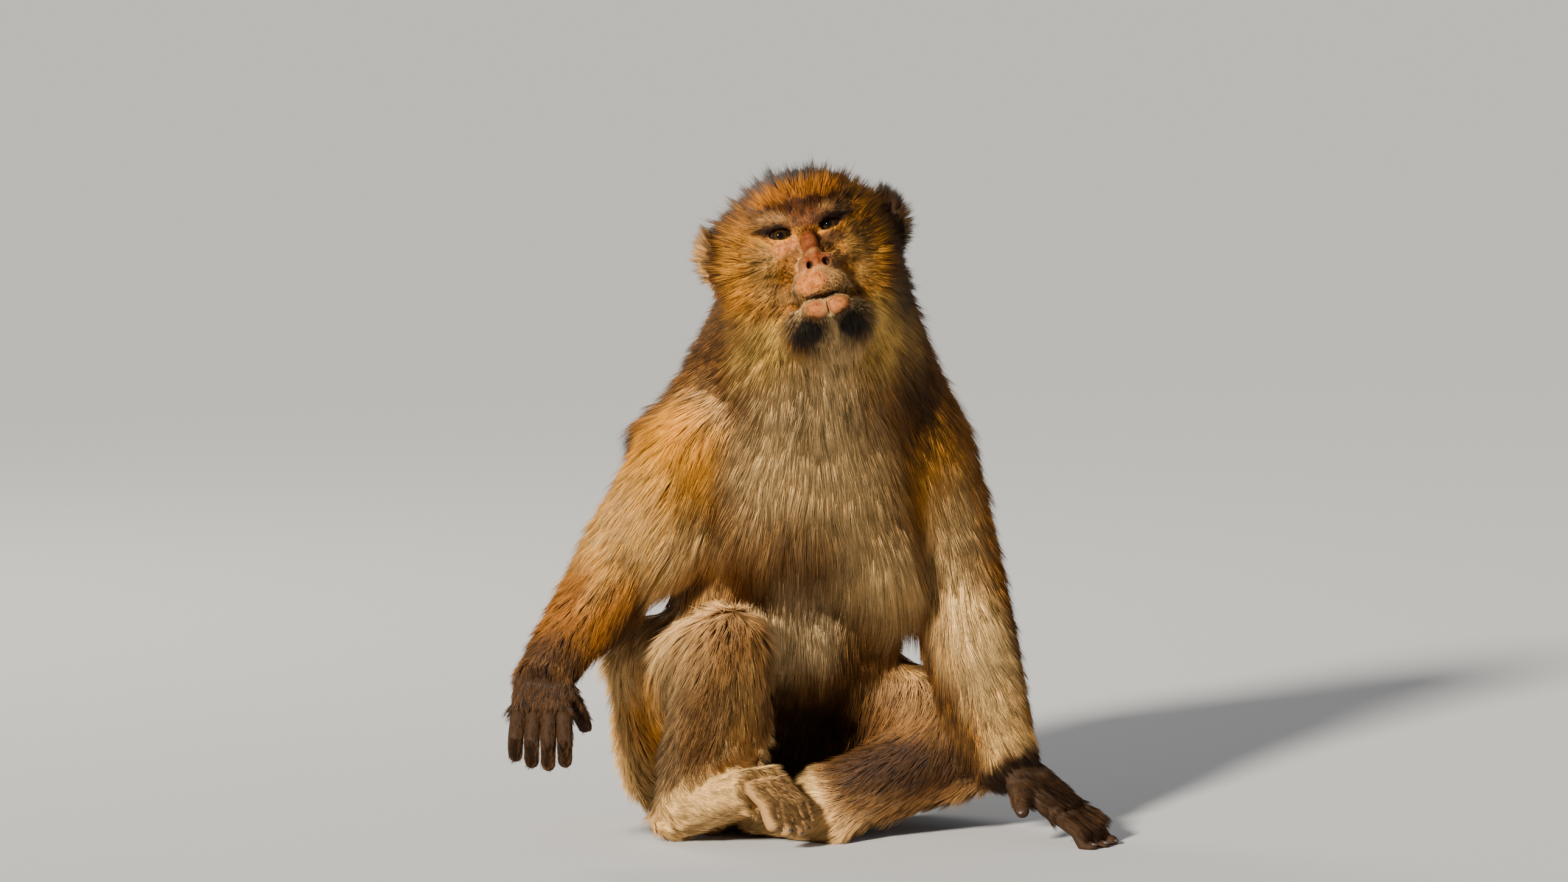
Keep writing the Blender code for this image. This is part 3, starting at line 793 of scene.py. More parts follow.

# The head's patches of colour, in mm along the head's axes: the coat's and skin's own markings, with
# painted shade on the left side of the face, under the left eye, round the eyes, in the nostrils and
# along the mouth.
HEAD_MARKINGS_AND_SHADE = [ColourPatch(*row) for row in (
    ((0, 30, 54), (90, 64, 30), (0.040, 0.017, 0.006), BLACK, 0.97),
    ((0, 0, 25), (50, 28, 6.5), (0.36, 0.115, 0.004), (0.48, 0.165, 0.006)),
    ((0, -2, 14), (42, 30, 7.5), (0.055, 0.014, 0.001), (0.10, 0.028, 0.002)),
    ((67, 38, 12), (13, 44, 50), (0.045, 0.020, 0.007), BLACK, 0.95, True),
    ((47, 22, 10), (16, 26, 20), (0.56, 0.22, 0.015), OCHRE, 0.95, True),
    ((55, 30, -26), (16, 32, 26), (0.66, 0.26, 0.015), GOLD_TIP, 0.95, True),
    ((42, 20, -52), (16, 34, 14), (0.42, 0.18, 0.02), DARK, 0.8, True),
    ((52, 34, -78), (42, 44, 22), (0.95, 0.56, 0.11), (0.95, 0.60, 0.16), 1.0, True),
    ((0, 16, -106), (60, 60, 17), (0.92, 0.60, 0.24), CREAM),
    ((36, -2, -26), (11, 30, 24), (0.34, 0.16, 0.03), (0.62, 0.34, 0.08), 0.9, True),
    ((26, -12, -46), (9, 26, 13), (0.44, 0.25, 0.09), CREAM, 0.9, True),
    ((24, -4, 9), (14, 14, 4.5), (0.56, 0.26, 0.07), BUFF, 0.75, True),
    ((2, -4, 7), (15, 16, 8), (0.11, 0.030, 0.004), UMBER, 0.95),
    ((36, 8, -14), (7, 14, 10), (0.12, 0.05, 0.012), BROWN, 0.8, True),
    ((-17, -4, -12), (14, 12, 7), (0.34, 0.12, 0.030), TAN, 1.0),
    # Painted shade: the skin and short hair under the left eye, darker than under the right eye.
    ((17, -4, -12), (13, 12, 7), (0.075, 0.026, 0.006), BROWN, 1.0),
    # Dark lids round both eyes, spread upwards as painted shade under the brow.
    ((20, 2, 4.5), (17, 14, 8.4), (0.022, 0.009, 0.004), DARK, 1.0, True),
    ((1, -14, -17), (9.5, 20, 20), (0.115, 0.026, 0.005), BROWN, 0.97),
    # Painted shade: the left side of the face and neck, nearly black.
    ((62, 40, -40), (14, 50, 62), (0.060, 0.026, 0.008), BLACK, 0.9),
    ((-8, -34, -48), (15, 18, 11), (0.33, 0.105, 0.020), PALE_PINK),
    ((1, -26, -32), (15, 14, 8.5), (0.155, 0.038, 0.008), PINK),
    # Painted shade inside the two nostrils.
    ((-4.8, -30, -35), (2.6, 12, 3.6), (0.03, 0.012, 0.006), None, 0.95),
    ((8.6, -30, -34.5), (3.4, 12, 4.0), (0.03, 0.012, 0.006), None, 0.95),
    ((30, -12, -62), (12, 22, 14), (0.022, 0.012, 0.006), TAN, 0.95, True),
    ((4, -14, -78), (40, 34, 18), (0.045, 0.024, 0.012), CREAM, 0.9),
    ((10.5, -38, -70), (11, 12, 9), (0.26, 0.085, 0.022), TAN, 1.0, True),
    # Painted shade: the dark line of the mouth between the lips.
    ((0, -38, -60.5), (20, 22, 3.0), (0.020, 0.009, 0.006), DARK, 1.0),
    ((18, -22, -81), (15, 22, 9), BLACK, BLACK, 0.95, True),
    ((1.5, -26, -88), (4.5, 20, 12), (0.72, 0.46, 0.18), CREAM, 0.95),
    ((-76, 60, -5), (12, 30, 40), (0.30, 0.14, 0.035), BUFF, 0.85),
)]


ALONG = {
    "upper": ("shoulder_", "elbow_"), "forearm": ("elbow_", "wrist_"), "hand": ("wrist_", "knuckles_"),
    "finger": ("wrist_", "knuckles_"), "thumb": ("wrist_", "knuckles_"), "shin": ("knee_", "ankle_"),
    "foot": ("ankle_", "ball_"), "toe": ("ankle_", "ball_"), "hallux": ("ankle_", "ball_"),
}


@dataclass(frozen=True)
class Fringe:
    """A place where the coat hangs long over a gap between limbs.

    Attributes:
        place: its middle, mm.
        reach: its half sizes, mm.
        length: of a tuft there, mm.
        depth: from the skin up to the tips there, mm.
    """

    place: Triple
    reach: Triple
    length: float
    depth: float


FRINGES = [
    Fringe((-108, -10, 204), (50, 60, 28), 56, 1.0),
    Fringe((-124, 10, 150), (50, 60, 34), 34, 0.5),
    Fringe((84, 0, 200), (46, 70, 32), 58, 1.0),
    Fringe((100, 10, 150), (36, 60, 44), 40, 0.5),
]


@dataclass(frozen=True)
class Bare:
    """A patch of the face without tufts, in mm along the head's axes."""

    place: Triple
    reach: Triple


BARE = [
    Bare((-9, -34, -47), (12, 20, 11)),
    Bare((1, -18, -20), (11, 20, 20)),
    Bare((1, -28, -33), (12, 12, 8)),
    Bare((19.5, 4, 0.5), (12, 14, 7)),
    Bare((-19.5, 4, 0.5), (12, 14, 7)),
    Bare((13, -4, -8), (6, 9, 4)),
    Bare((-17, -4, -11), (12, 11, 7)),
    Bare((-1, -40, -69), (19, 18, 9)),
]


@dataclass(frozen=True)
class FaceCoat:
    """How the hair changes from the middle of the face out to its outline.

    How far out a place lies runs from 0 in the middle to 1 at the outline; heights
    and widths are in mm along the head's axes.

    Attributes:
        half_width: of the face, mm.
        half_height: of the face, mm.
        middle: height of its middle.
        round_side: how far back the head counts as outline.
        shortest: hair beside the bare skin, mm.
        longer: how much longer it grows towards the outline, mm.
        crown_shorter: how much of that the crown lacks, mm.
        side_longer: how much longer it grows beside the ears, mm.
        lengthens: how far out it grows longer.
        finest: width beside the bare skin, mm.
        wider: how much wider the tufts grow towards the outline, mm.
        closest: how closely tufts stand beside the bare skin.
        opener: how much less closely they stand at the outline.
        widens: how far out they grow wider and stand more openly.
        lowest: how far the hair beside the bare skin stands out, mm.
        loose: how much further it stands out at the outline, mm.
        crown_rise: how much further the crown's hair stands out, mm.
        side_rise: how much further the hair beside the ears stands out, mm.
        loosens: how far out it stands out further.
        jaw_rise: how far the beard stands out, mm.
        muzzle_rise: how far the muzzle's hair stands out, mm.
        thinnest: how deep the skin lies under the hair beside the bare skin, mm.
        deepens: how far out it lies deeper.
        crown: heights over which the crown sets in.
        beside: distances from the middle over which the sides set in.
        above: heights over which the sides set in.
        under_lip: heights from the beard's lower edge up to the lower lip.
        front: places from the cheek forward to the lips.
    """

    half_width: float = 62.0
    half_height: float = 76.0
    middle: float = -26.0
    round_side: Span = Span(0, 60)
    shortest: float = 3.0
    longer: float = 15.0
    crown_shorter: float = 3.0
    side_longer: float = 9.0
    lengthens: Span = Span(0.40, 1.02)
    finest: float = 0.32
    wider: float = 0.22
    closest: float = 2.1
    opener: float = 1.0
    widens: Span = Span(0.4, 1.0)
    lowest: float = 1.2
    loose: float = 0.8
    crown_rise: float = 3.0
    side_rise: float = 3.0
    loosens: Span = Span(0.5, 1.0)
    jaw_rise: float = 1.4
    muzzle_rise: float = 0.5
    thinnest: float = 0.6
    deepens: Span = Span(0.42, 0.85)
    crown: Span = Span(10, 40)
    beside: Span = Span(34, 58)
    above: Span = Span(-8, 24)
    under_lip: Span = Span(-84, -72)
    front: Span = Span(0, -14)


@dataclass(frozen=True)
class Lie:
    """Which way the hair lies, as shares of directions.

    Attributes:
        fan: the place in the face that its hair fans out from, mm.
        fan_back: how much that hair lies back.
        fan_down: how much the cheeks' hair lies down.
        cheeks: heights over which the cheeks set in.
        ear: how much the ears' hair lies back and down.
        thigh: how much the thighs' hair follows the bone.
        thigh_down: how much it lies down.
        mane: how much the hair of neck and chest lies outwards.
        trunk: how much the rest of the trunk's hair does.
        fringe: how much the fringes hang.
        rounds: how many rounds of evening out join the parts, first and last.
    """

    fan: Triple = (0, 6, -30)
    fan_back: Triple = (0, 0.45, 0)
    fan_down: float = 0.25
    cheeks: Span = Span(-10, -60)
    ear: Triple = (0, 0.4, -0.2)
    thigh: float = 0.7
    thigh_down: float = 0.6
    mane: float = 0.3
    trunk: float = 0.1
    fringe: float = 1.6
    rounds: tuple[int, int] = (24, 10)


class Coverage:
    """What grows where: the coat's measures and colours at every point of the skin."""

    look = FaceCoat()
    way = Lie()
    digit_rise = 1.3
    digit_back, short_of_tip = Span(-0.1, 0.5), Span(6, 16)
    # The arms' hair darkens where it faces back: partly the coat's own darker back, partly painted shade
    # on the side away from the light.
    arm_backs, back_dark = Span(0.0, 0.8), 0.55
    sole, by_floor, worn = Span(-0.6, -0.95), Span(0.06, 0.02), 0.8

    def __init__(self, anatomy: Anatomy, mesh: bpy.types.Mesh) -> None:
        """Match the points of a mesh to the nodes and look up what grows on them."""
        self.anatomy = anatomy
        self.points = mesh_points(mesh)
        self.web = Web(mesh)
        self.normals = normals_of(self.points, mesh_triangles(mesh))
        self.names = anatomy.flesh
        self.owner = self.match()
        self.places = anatomy.in_head(self.points) - Face.shift

    def match(self) -> Array:
        """The number of the node that each point lies on."""
        random = np.random.default_rng(SEED)
        samples, owners = [], []
        for number, name in enumerate(self.names):
            points = self.anatomy.points[name]
            corners = points[mesh_triangles(self.anatomy.nodes[name].data)]
            area = np.linalg.norm(np.cross(corners[:, 1] - corners[:, 0],
                                           corners[:, 2] - corners[:, 0]), axis=1)
            count = int(60 + area.sum() / 2 / (4 * MM) ** 2)
            pick = random.choice(len(area), count, p=area / area.sum())
            share = random.dirichlet((1, 1, 1), count)
            samples.append((corners[pick] * share[:, :, None]).sum(1))
            owners.append(np.full(count, number))
        owners = np.concatenate(owners)
        tree = tree_of(np.concatenate(samples))
        return owners[[tree.find(point)[1] for point in self.points]]

    def growth(self, what: str) -> Array:
        """One measure of the growth, evened out across the seams.

        Args:
            what: the name of a field of Growth.

        Returns:
            One row for each point.
        """
        table = np.array([getattr(GROWTH[name.split("_")[0]], what) for name in self.names], float)
        return self.web.even(table[self.owner], 14)

    def outwardness(self) -> Array:
        """How far a point of the head lies out from the middle of the face, 1 at the outline."""
        x, y, z = self.places.T
        flat = np.sqrt((x / self.look.half_width) ** 2
                       + ((z - self.look.middle) / self.look.half_height) ** 2)
        return np.maximum(flat, self.look.round_side.of(y) * 1.2)

    def is_on(self, *words: str) -> Array:
        """Which points lie on nodes whose names start with one of the words."""
        table = np.array([name.split("_")[0] in words for name in self.names])
        return table[self.owner].astype(float)

    def bare(self) -> Array:
        """How bare the skin is, from 0 to 1."""
        cover = np.zeros(len(self.points))
        for patch in BARE:
            cover = np.maximum(cover, soft(self.places, patch.place, patch.reach, BARE_EDGE))
        return np.maximum(cover, self.is_on("seat"))

    def hanging(self, fringe: Fringe) -> Array:
        """How fully a fringe covers each point, from 0 to 1."""
        return soft(self.points / MM, fringe.place, fringe.reach, FRINGE_EDGE)

    def depth(self, fringed: bool = True) -> Array:
        """How deep the skin lies under the tips of the coat, mm.

        Args:
            fringed: whether it lies shallower under the fringes.
        """
        depth = self.growth("depth")
        if fringed:
            for fringe in FRINGES:
                depth = depth + (fringe.depth - depth) * self.hanging(fringe)
        on_head = self.web.even(self.is_on("head"), 10)
        thinnest = self.look.thinnest
        shallow = thinnest + (depth - thinnest) * self.look.deepens.of(self.outwardness())
        return depth + (shallow - depth) * on_head

    def measures(self) -> dict[str, Array]:
        """Length, width, rise and closeness of the tufts."""
        on_head, on_jaw = (self.web.even(self.is_on(node), 6) for node in ("head", "jaw"))
        out, look = self.outwardness(), self.look
        crown = look.crown.of(self.places[:, 2])
        side = look.beside.of(np.abs(self.places[:, 0])) * look.above.of(self.places[:, 2])
        lips = look.under_lip.of(self.places[:, 2]) * look.front.of(self.places[:, 1])
        length = self.growth("length")
        grown = look.longer - look.crown_shorter * crown + look.side_longer * side
        head_length = look.shortest + grown * look.lengthens.of(out)
        length = length + (head_length - length) * on_head
        for fringe in FRINGES:
            length = length + (fringe.length - length) * self.hanging(fringe)
        length = length - (length - look.shortest) * lips * self.web.even(self.is_on("jaw"), 4)
        width = self.growth("width")
        head_width = look.finest + look.wider * look.widens.of(out)
        width = width + (head_width - width) * on_head
        loose = look.loose + look.crown_rise * crown + look.side_rise * side
        rise = self.depth(False) + (look.lowest + loose * look.loosens.of(out)) * on_head
        rise = rise + self.is_on(*DIGITS) * self.digit_rise
        rise = rise + on_jaw * look.jaw_rise * (1 - 0.7 * lips) + self.is_on("muzzle") * look.muzzle_rise
        thick = self.growth("thick")
        head_thick = look.closest - look.opener * look.widens.of(out)
        thick = thick + (head_thick - thick) * on_head
        thick = thick * (1 - self.bare()) * self.backs()
        under = self.sole.of(self.normals[:, 2]) * self.by_floor.of(self.points[:, 2])
        thick = thick * (1 - self.worn * under)
        return {"length": length * MM, "width": width * MM, "rise": rise * MM, "thick": thick,
                "fleck": self.growth("fleck")}

    def backs(self) -> Array:
        """Where the digits carry hair: on their backs, short of their tips."""
        share = np.ones(len(self.points))
        for number, name in enumerate(self.names):
            if name in self.anatomy.digits:
                mine = self.owner == number
                facing = self.digit_back.of(self.normals[mine] @ self.anatomy.back_of(name))
                tip = self.anatomy.rings(name)[-1]
                away = np.linalg.norm(self.points[mine] - tip, axis=1) / MM
                share[mine] = facing * self.short_of_tip.of(away)
        return share

    def colours(self) -> tuple[Array, Array]:
        """Colours of the hair and of its tips at every point, painted shade and painted light included.
        """
        hair, tips = self.growth("hair"), self.growth("tips")
        arms = self.web.even(self.is_on("upper", "forearm"), 6)
        # Partly painted shade: the arms' hair darkens where it faces back, away from the light.
        backs = (self.arm_backs.of(self.normals[:, 1]) * arms)[:, None]
        hair = hair + (np.array(DARK) - hair) * backs * self.back_dark
        whole = self.points / MM
        limb = self.web.even(self.is_on(*DIGITS, "hand", "foot", "ear"), 6)
        on_head = self.web.even(self.is_on("head", "muzzle", "jaw", "ear"), 4)
        grounds = ((BODY_MARKINGS_SHADE_AND_LIGHT, whole, (1 - limb) * (1 - on_head)),
                   (HEAD_MARKINGS_AND_SHADE, self.places, ease(on_head, 0.0, 0.6)))
        for colour_patches, places, share in grounds:
            for colour_patch in colour_patches:
                cover = (colour_patch.cover(places) * share)[:, None]
                hair = hair + (np.array(colour_patch.hair) - hair) * cover
                if colour_patch.tips is not None:
                    tips = tips + (np.array(colour_patch.tips) - tips) * cover
        return hair, tips

    def lie(self) -> Array:
        """The direction in which the hair lies at every point."""
        limbs, way = self.anatomy.limbs(), self.way
        points, normals, places = self.points, self.normals, self.places
        down = np.array([0, 0, -1.0])
        flow = np.tile(down, (len(points), 1))
        sideways = normals * (1, 1, 0)
        for number, name in enumerate(self.names):
            mine = self.owner == number
            first = name.split("_")[0]
            word = Side.LEFT.word if Side.LEFT.word in name else Side.RIGHT.word
            if first in ("head", "muzzle", "jaw"):
                local = unit(places[mine] - way.fan) + way.fan_back
                local[:, 2] -= way.fan_down * way.cheeks.of(places[mine][:, 2])
                flow[mine] = local @ self.anatomy.head_axes.T
            elif first == "ear":
                flow[mine] = unit(points[mine] - self.anatomy.middle("head")) + way.ear
            elif first == "thigh":
                along = unit(limbs["knee_" + word] - limbs["hip_" + word])
                flow[mine] = along * way.thigh + down * way.thigh_down
            elif first in ALONG:
                start, end = ALONG[first]
                flow[mine] = limbs[end + word] - limbs[start + word]
            else:
                wide = way.mane if first in ("neck", "chest") else way.trunk
                flow[mine] = down + sideways[mine] * wide
        flow = unit(flow)
        for fringe in FRINGES:
            flow = flow + down * way.fringe * self.hanging(fringe)[:, None]
        flow = unit(self.web.even(flow, way.rounds[0]))
        flow = flow - normals * (flow * normals).sum(1, keepdims=True)
        return unit(self.web.even(unit(flow), way.rounds[1]))


# --- the skin ------------------------------------------------------------------------


@dataclass
class Skin:
    """One seamless skin over every part of flesh.

    Attributes:
        anatomy: the measured solids.
        voxel: grain of the fused form, mm.
        overlap: how far the solids swell to meet across their cuts, mm.
        apart: how far digits shrink so that they stay apart, mm.
        ears: how far the ears swell, mm; below nothing they shrink.
        swell: how far digits swell again once they are fused, mm.
        firm: how firmly hands, feet and seat pads keep their shape while the rest is evened out.
        rounds: how many rounds of evening out take the facets off.
        triangles: what the body keeps before the face is worked.
        facing_back: how far the trunk's skin turns back before it counts as the back.
        near_face: how far out from the middle of the face the face's own piece of coat reaches.
        refined: how much fineness a place must want for each halving of the mesh.
        dented: how far forward dents are pressed in, mm.
        rooted: how much of a digit's root runs on into the palm or sole, mm.
        slimmest: how surely a place must lie on a digit or ear to swell again.
        spared: how much the mesh of digits, ears and face is spared when it is reduced.
        steps: in how many steps the skin is set in under the coat.
        face: the face's forms.
    """

    anatomy: Anatomy
    voxel: float = 1.25
    overlap: float = 0.6
    apart: float = 0.35
    ears: float = -0.8
    swell: float = 1.7
    firm: float = 0.8
    rounds: int = 70
    triangles: int = 80000
    facing_back: float = 0.15
    near_face: float = 0.62
    refined: tuple[float, float] = (0.05, 0.3)
    dented: Span = Span(2, -6)
    rooted: float = 4.0
    slimmest: float = 0.99
    spared: float = 0.75
    steps: int = 4
    face: Face = field(default_factory=Face)

    def fused(self) -> bpy.types.Object:
        """Fuse the solids of flesh to one fine mesh."""
        whole = bmesh.new()
        for name in self.anatomy.flesh:
            part = bmesh.new()
            part.from_mesh(self.anatomy.nodes[name].data)
            bmesh.ops.remove_doubles(part, verts=part.verts[:], dist=1e-5)
            bmesh.ops.recalc_face_normals(part, faces=part.faces[:])
            part.normal_update()
            swell = self.overlap
            if name in self.anatomy.digits:
                swell = -self.apart
                self.root(part, name)
            elif name.startswith("ear_"):
                swell = self.ears
            moves = [vertex.normal * swell * MM for vertex in part.verts]
            for vertex, move in zip(part.verts, moves):
                vertex.co += move
            mesh = finished("part", part)
            whole.from_mesh(mesh)
            bpy.data.meshes.remove(mesh)
        thing = link("skin", finished("skin", whole))
        remesh = thing.modifiers.new("Fuse", "REMESH")
        remesh.mode = "VOXEL"
        remesh.voxel_size = self.voxel * MM
        return settle(thing)

    def root(self, part: bmesh.types.BMesh, name: str, reach: float = 4.0) -> None:
        """Run the root of a digit on into the palm or sole.

        Args:
            part: the digit's mesh.
            name: its node.
            reach: how far it runs on, mm.
        """
        middle = Vector(self.anatomy.middle(self.anatomy.palm(name)))
        away = [(vertex.co - middle).length for vertex in part.verts]
        limit = min(away) + self.rooted * MM
        near = [vertex for vertex, distance in zip(part.verts, away) if distance < limit]
        inward = (middle - sum((v.co for v in near), Vector()) / len(near)).normalized()
        for vertex in near:
            vertex.co += inward * reach * MM

    def smoothed(self, thing: bpy.types.Object) -> None:
        """Even out the facets of the solids and set the skin in by the coat's depth.

        Args:
            thing: the fused skin.
        """
        mesh = thing.data
        points = mesh_points(mesh)
        web = Web(mesh)
        slim = np.zeros(len(points))
        broad_ones = [part + "_" + side.word for part in ("hand", "foot", "seat_pad") for side in Side]
        for name in self.anatomy.flesh:
            if name in self.anatomy.digits or name.startswith("ear_"):
                slim = np.maximum(slim, self.anatomy.near(name, points))
            elif name in broad_ones:
                slim = np.maximum(slim, self.firm * self.anatomy.near(name, points))
        share = 0.5 * (1 - web.even(slim, 6))
        broad = web.even(web.even(points, 2, 0.5), self.rounds, share)
        points = broad + web.even(points - broad, self.rounds, share)
        fingers = web.even((slim > self.slimmest).astype(float), 3) * self.swell
        points = points + normals_of(points, mesh_triangles(mesh)) * fingers[:, None] * MM
        set_points(mesh, points)
        reduce = thing.modifiers.new("Reduce", "DECIMATE")
        reduce.ratio = self.triangles / len(mesh_triangles(mesh))
        group = thing.vertex_groups.new(name="plain")
        spread = 1 - self.spared * np.maximum(slim, self.face.share(self.anatomy.in_head(points)))
        for level in np.linspace(0.2, 1.0, 9):
            chosen = np.nonzero(np.abs(spread - level) <= 0.05)[0]
            group.add(chosen.tolist(), float(level), "REPLACE")
        reduce.vertex_group = group.name
        settle(thing)
        thing.vertex_groups.clear()

    def set_in(self, thing: bpy.types.Object) -> None:
        """Draw the skin in under the coat."""
        cover = Coverage(self.anatomy, thing.data)
        depth = cover.depth() * MM
        points = cover.points
        triangles = mesh_triangles(thing.data)
        for _ in range(self.steps):
            normals = cover.web.even(normals_of(points, triangles), 4)
            points = points - unit(normals) * depth[:, None] / self.steps
            points = cover.web.even(points, 1, 0.25 * ease(depth, 0, 4 * MM))
        points[:, 2] = np.maximum(points[:, 2], 0.0)
        set_points(thing.data, points)

    def worked(self, thing: bpy.types.Object) -> None:
        """Refine the mesh over the face and draw it onto the face's forms."""
        for level in self.refined:
            mesh = bmesh.new()
            mesh.from_mesh(thing.data)
            mesh.verts.ensure_lookup_table()
            places = self.anatomy.in_head(np.array([vertex.co for vertex in mesh.verts]))
            wanted = self.face.share(places) * 0.25 + self.face.detail(places)
            chosen = [edge for edge in mesh.edges
                      if wanted[edge.verts[0].index] > level and wanted[edge.verts[1].index] > level]
            bmesh.ops.subdivide_edges(mesh, edges=chosen, cuts=1, use_grid_fill=False)
            bmesh.ops.triangulate(mesh, faces=mesh.faces[:])
            mesh.to_mesh(thing.data)
            mesh.free()
            self.follow(thing.data, 4)
        self.follow(thing.data, 5)
        places = self.anatomy.in_head(mesh_points(thing.data))
        facing = self.face.share(places) * self.dented.of(places[:, 1])
        for dent in DENTS:
            places[:, 1] += dent.press(places - self.face.shift) * facing
        set_points(thing.data, self.anatomy.from_head(places))

    def follow(self, mesh: bpy.types.Mesh, rounds: int) -> None:
        """Draw a mesh onto the face, evening it out between steps.

        Args:
            mesh: the skin's mesh.
            rounds: how many steps to take.
        """
        web = Web(mesh)
        points = mesh_points(mesh)
        places = self.anatomy.in_head(points)
        share = self.face.share(places)
        mine = np.nonzero(share > 0.001)[0]
        for step in range(rounds):
            if step < rounds - 2:
                places = web.even(places, 2, 0.4 * (share > 0.05))
            for _ in range(2):
                moved = self.face.pull(places[mine])
                places[mine] += (moved - places[mine]) * share[mine, None]
        points[mine] = self.anatomy.from_head(places[mine])
        set_points(mesh, points)

    def unwrap(self, thing: bpy.types.Object) -> None:
        """Unwrap the skin by its own shape."""
        bpy.context.view_layer.objects.active = thing
        thing.select_set(True)
        thing.data.uv_layers.new(name="shape")
        bpy.ops.object.mode_set(mode="EDIT")
        bpy.ops.mesh.select_all(action="SELECT")
        bpy.ops.uv.smart_project(angle_limit=math.radians(75), island_margin=0.001)
        bpy.ops.object.mode_set(mode="OBJECT")

    def build(self) -> bpy.types.Object:
        """Make the skin and store on it what grows where.

        Returns:
            The skin, with the coat's measures and colours as attributes.
        """
        thing = self.fused()
        LOG.info("fused skin: %d points", len(thing.data.vertices))
        self.smoothed(thing)
        self.set_in(thing)
        self.worked(thing)
        thing.data.shade_smooth()
        self.unwrap(thing)
        cover = Coverage(self.anatomy, thing.data)
        for name, values in cover.measures().items():
            put(thing.data, name, values, "FLOAT")
        hair, tips = cover.colours()
        put(thing.data, "hair", hair, "FLOAT_COLOR")
        put(thing.data, "tips", tips, "FLOAT_COLOR")
        put(thing.data, "lie", cover.lie(), "FLOAT_VECTOR")
        put(thing.data, "bare", cover.bare(), "FLOAT")
        plots = np.array([Plot.of(name).value for name in cover.names])[cover.owner]
        front = cover.normals[:, 1] < self.facing_back
        plots = np.where((plots == Plot.CHEST.value) & ~front, Plot.BACK.value, plots)
        near = cover.outwardness() < self.near_face
        plots = np.where((plots == Plot.HEAD.value) & near, Plot.FACE.value, plots)
        put(thing.data, "plot", plots, "INT")
        LOG.info("skin: %d triangles", len(mesh_triangles(thing.data)))
        return thing


class Plot(Enum):
    """The pieces that the coat is laid in."""

    FACE = 0
    HEAD = 1
    MANE = 2
    CHEST = 3
    BACK = 4
    ARM_LEFT = 5
    ARM_RIGHT = 6
    LEG_LEFT = 7
    LEG_RIGHT = 8

    @staticmethod
    def of(node: str) -> "Plot":
        """The piece that covers a node."""
        first = node.split("_")[0]
        side = "LEFT" if "left" in node else "RIGHT"
        plots = {"muzzle": "FACE", "jaw": "FACE", "head": "HEAD", "ear": "HEAD", "neck": "MANE"}
        plots.update(dict.fromkeys(("chest", "abdomen", "pelvis", "seat", "tail"), "CHEST"))
        plots.update(dict.fromkeys(("upper", "forearm", "hand", "finger", "thumb"), "ARM_" + side))
        return Plot[plots.get(first, "LEG_" + side)]


TUFTS = {Plot.FACE: 64000, Plot.HEAD: 62000, Plot.MANE: 52000, Plot.CHEST: 58000,
         Plot.BACK: 52000, Plot.ARM_LEFT: 54000, Plot.ARM_RIGHT: 54000,
         Plot.LEG_LEFT: 50000, Plot.LEG_RIGHT: 56000}


# --- node trees ------------------------------------------------------------------------


class Flow:
    """A value or vector on its way between nodes; arithmetic on it adds a node."""

    def __init__(self, tree: "Tree", socket: bpy.types.NodeSocket) -> None:
        """Hold an output socket of a tree's node."""
        self.tree = tree
        self.socket = socket

    @property
    def is_vector(self) -> bool:
        """Whether the flow carries a vector or a colour."""
        return self.socket.type in ("VECTOR", "RGBA")

    def _with(self, operation: str, other: Any) -> "Flow":
        """Combine with another flow, number or triple by an arithmetic node."""
        wide = self.is_vector or isinstance(other, tuple) or (
            isinstance(other, Flow) and other.is_vector)
        kind = "ShaderNodeVectorMath" if wide else "ShaderNodeMath"
        node = self.tree.add(kind, operation=operation)
        self.tree.feed(node.inputs[0], self)
        if wide and isinstance(other, (int, float)):
            other = (other,) * 3
        self.tree.feed(node.inputs[1], other)
        return Flow(self.tree, node.outputs[0])

    def __add__(self, other: Any) -> "Flow":
        """Sum."""
        return self._with("ADD", other)

    def __sub__(self, other: Any) -> "Flow":
        """Difference."""
        return self._with("SUBTRACT", other)

    def __mul__(self, other: Any) -> "Flow":
        """Product; a vector is scaled by a plain value."""
        return self._with("MULTIPLY", other)

    def cross(self, other: "Flow") -> "Flow":
        """The cross product with another vector."""
        return self._with("CROSS_PRODUCT", other)

    def dot(self, other: "Flow") -> "Flow":
        """The dot product with another vector."""
        node = self.tree.add("ShaderNodeVectorMath", operation="DOT_PRODUCT")
        self.tree.feed(node.inputs[0], self)
        self.tree.feed(node.inputs[1], other)
        return Flow(self.tree, node.outputs["Value"])

    def unit(self) -> "Flow":
        """The vector scaled to length one."""
        node = self.tree.add("ShaderNodeVectorMath", operation="NORMALIZE")
        self.tree.feed(node.inputs[0], self)
        return Flow(self.tree, node.outputs[0])

    def over(self, limit: float) -> "Flow":
        """One where the value is over a limit, otherwise nothing."""
        return self._with("GREATER_THAN", limit)

    def at_least(self, limit: float) -> "Flow":
        """The value, or a limit where that is greater."""
        return self._with("MAXIMUM", limit)

    def part(self, axis: int) -> "Flow":
        """One component of the vector."""
        node = self.tree.add("ShaderNodeSeparateXYZ")
        self.tree.feed(node.inputs[0], self)
        return Flow(self.tree, node.outputs[axis])


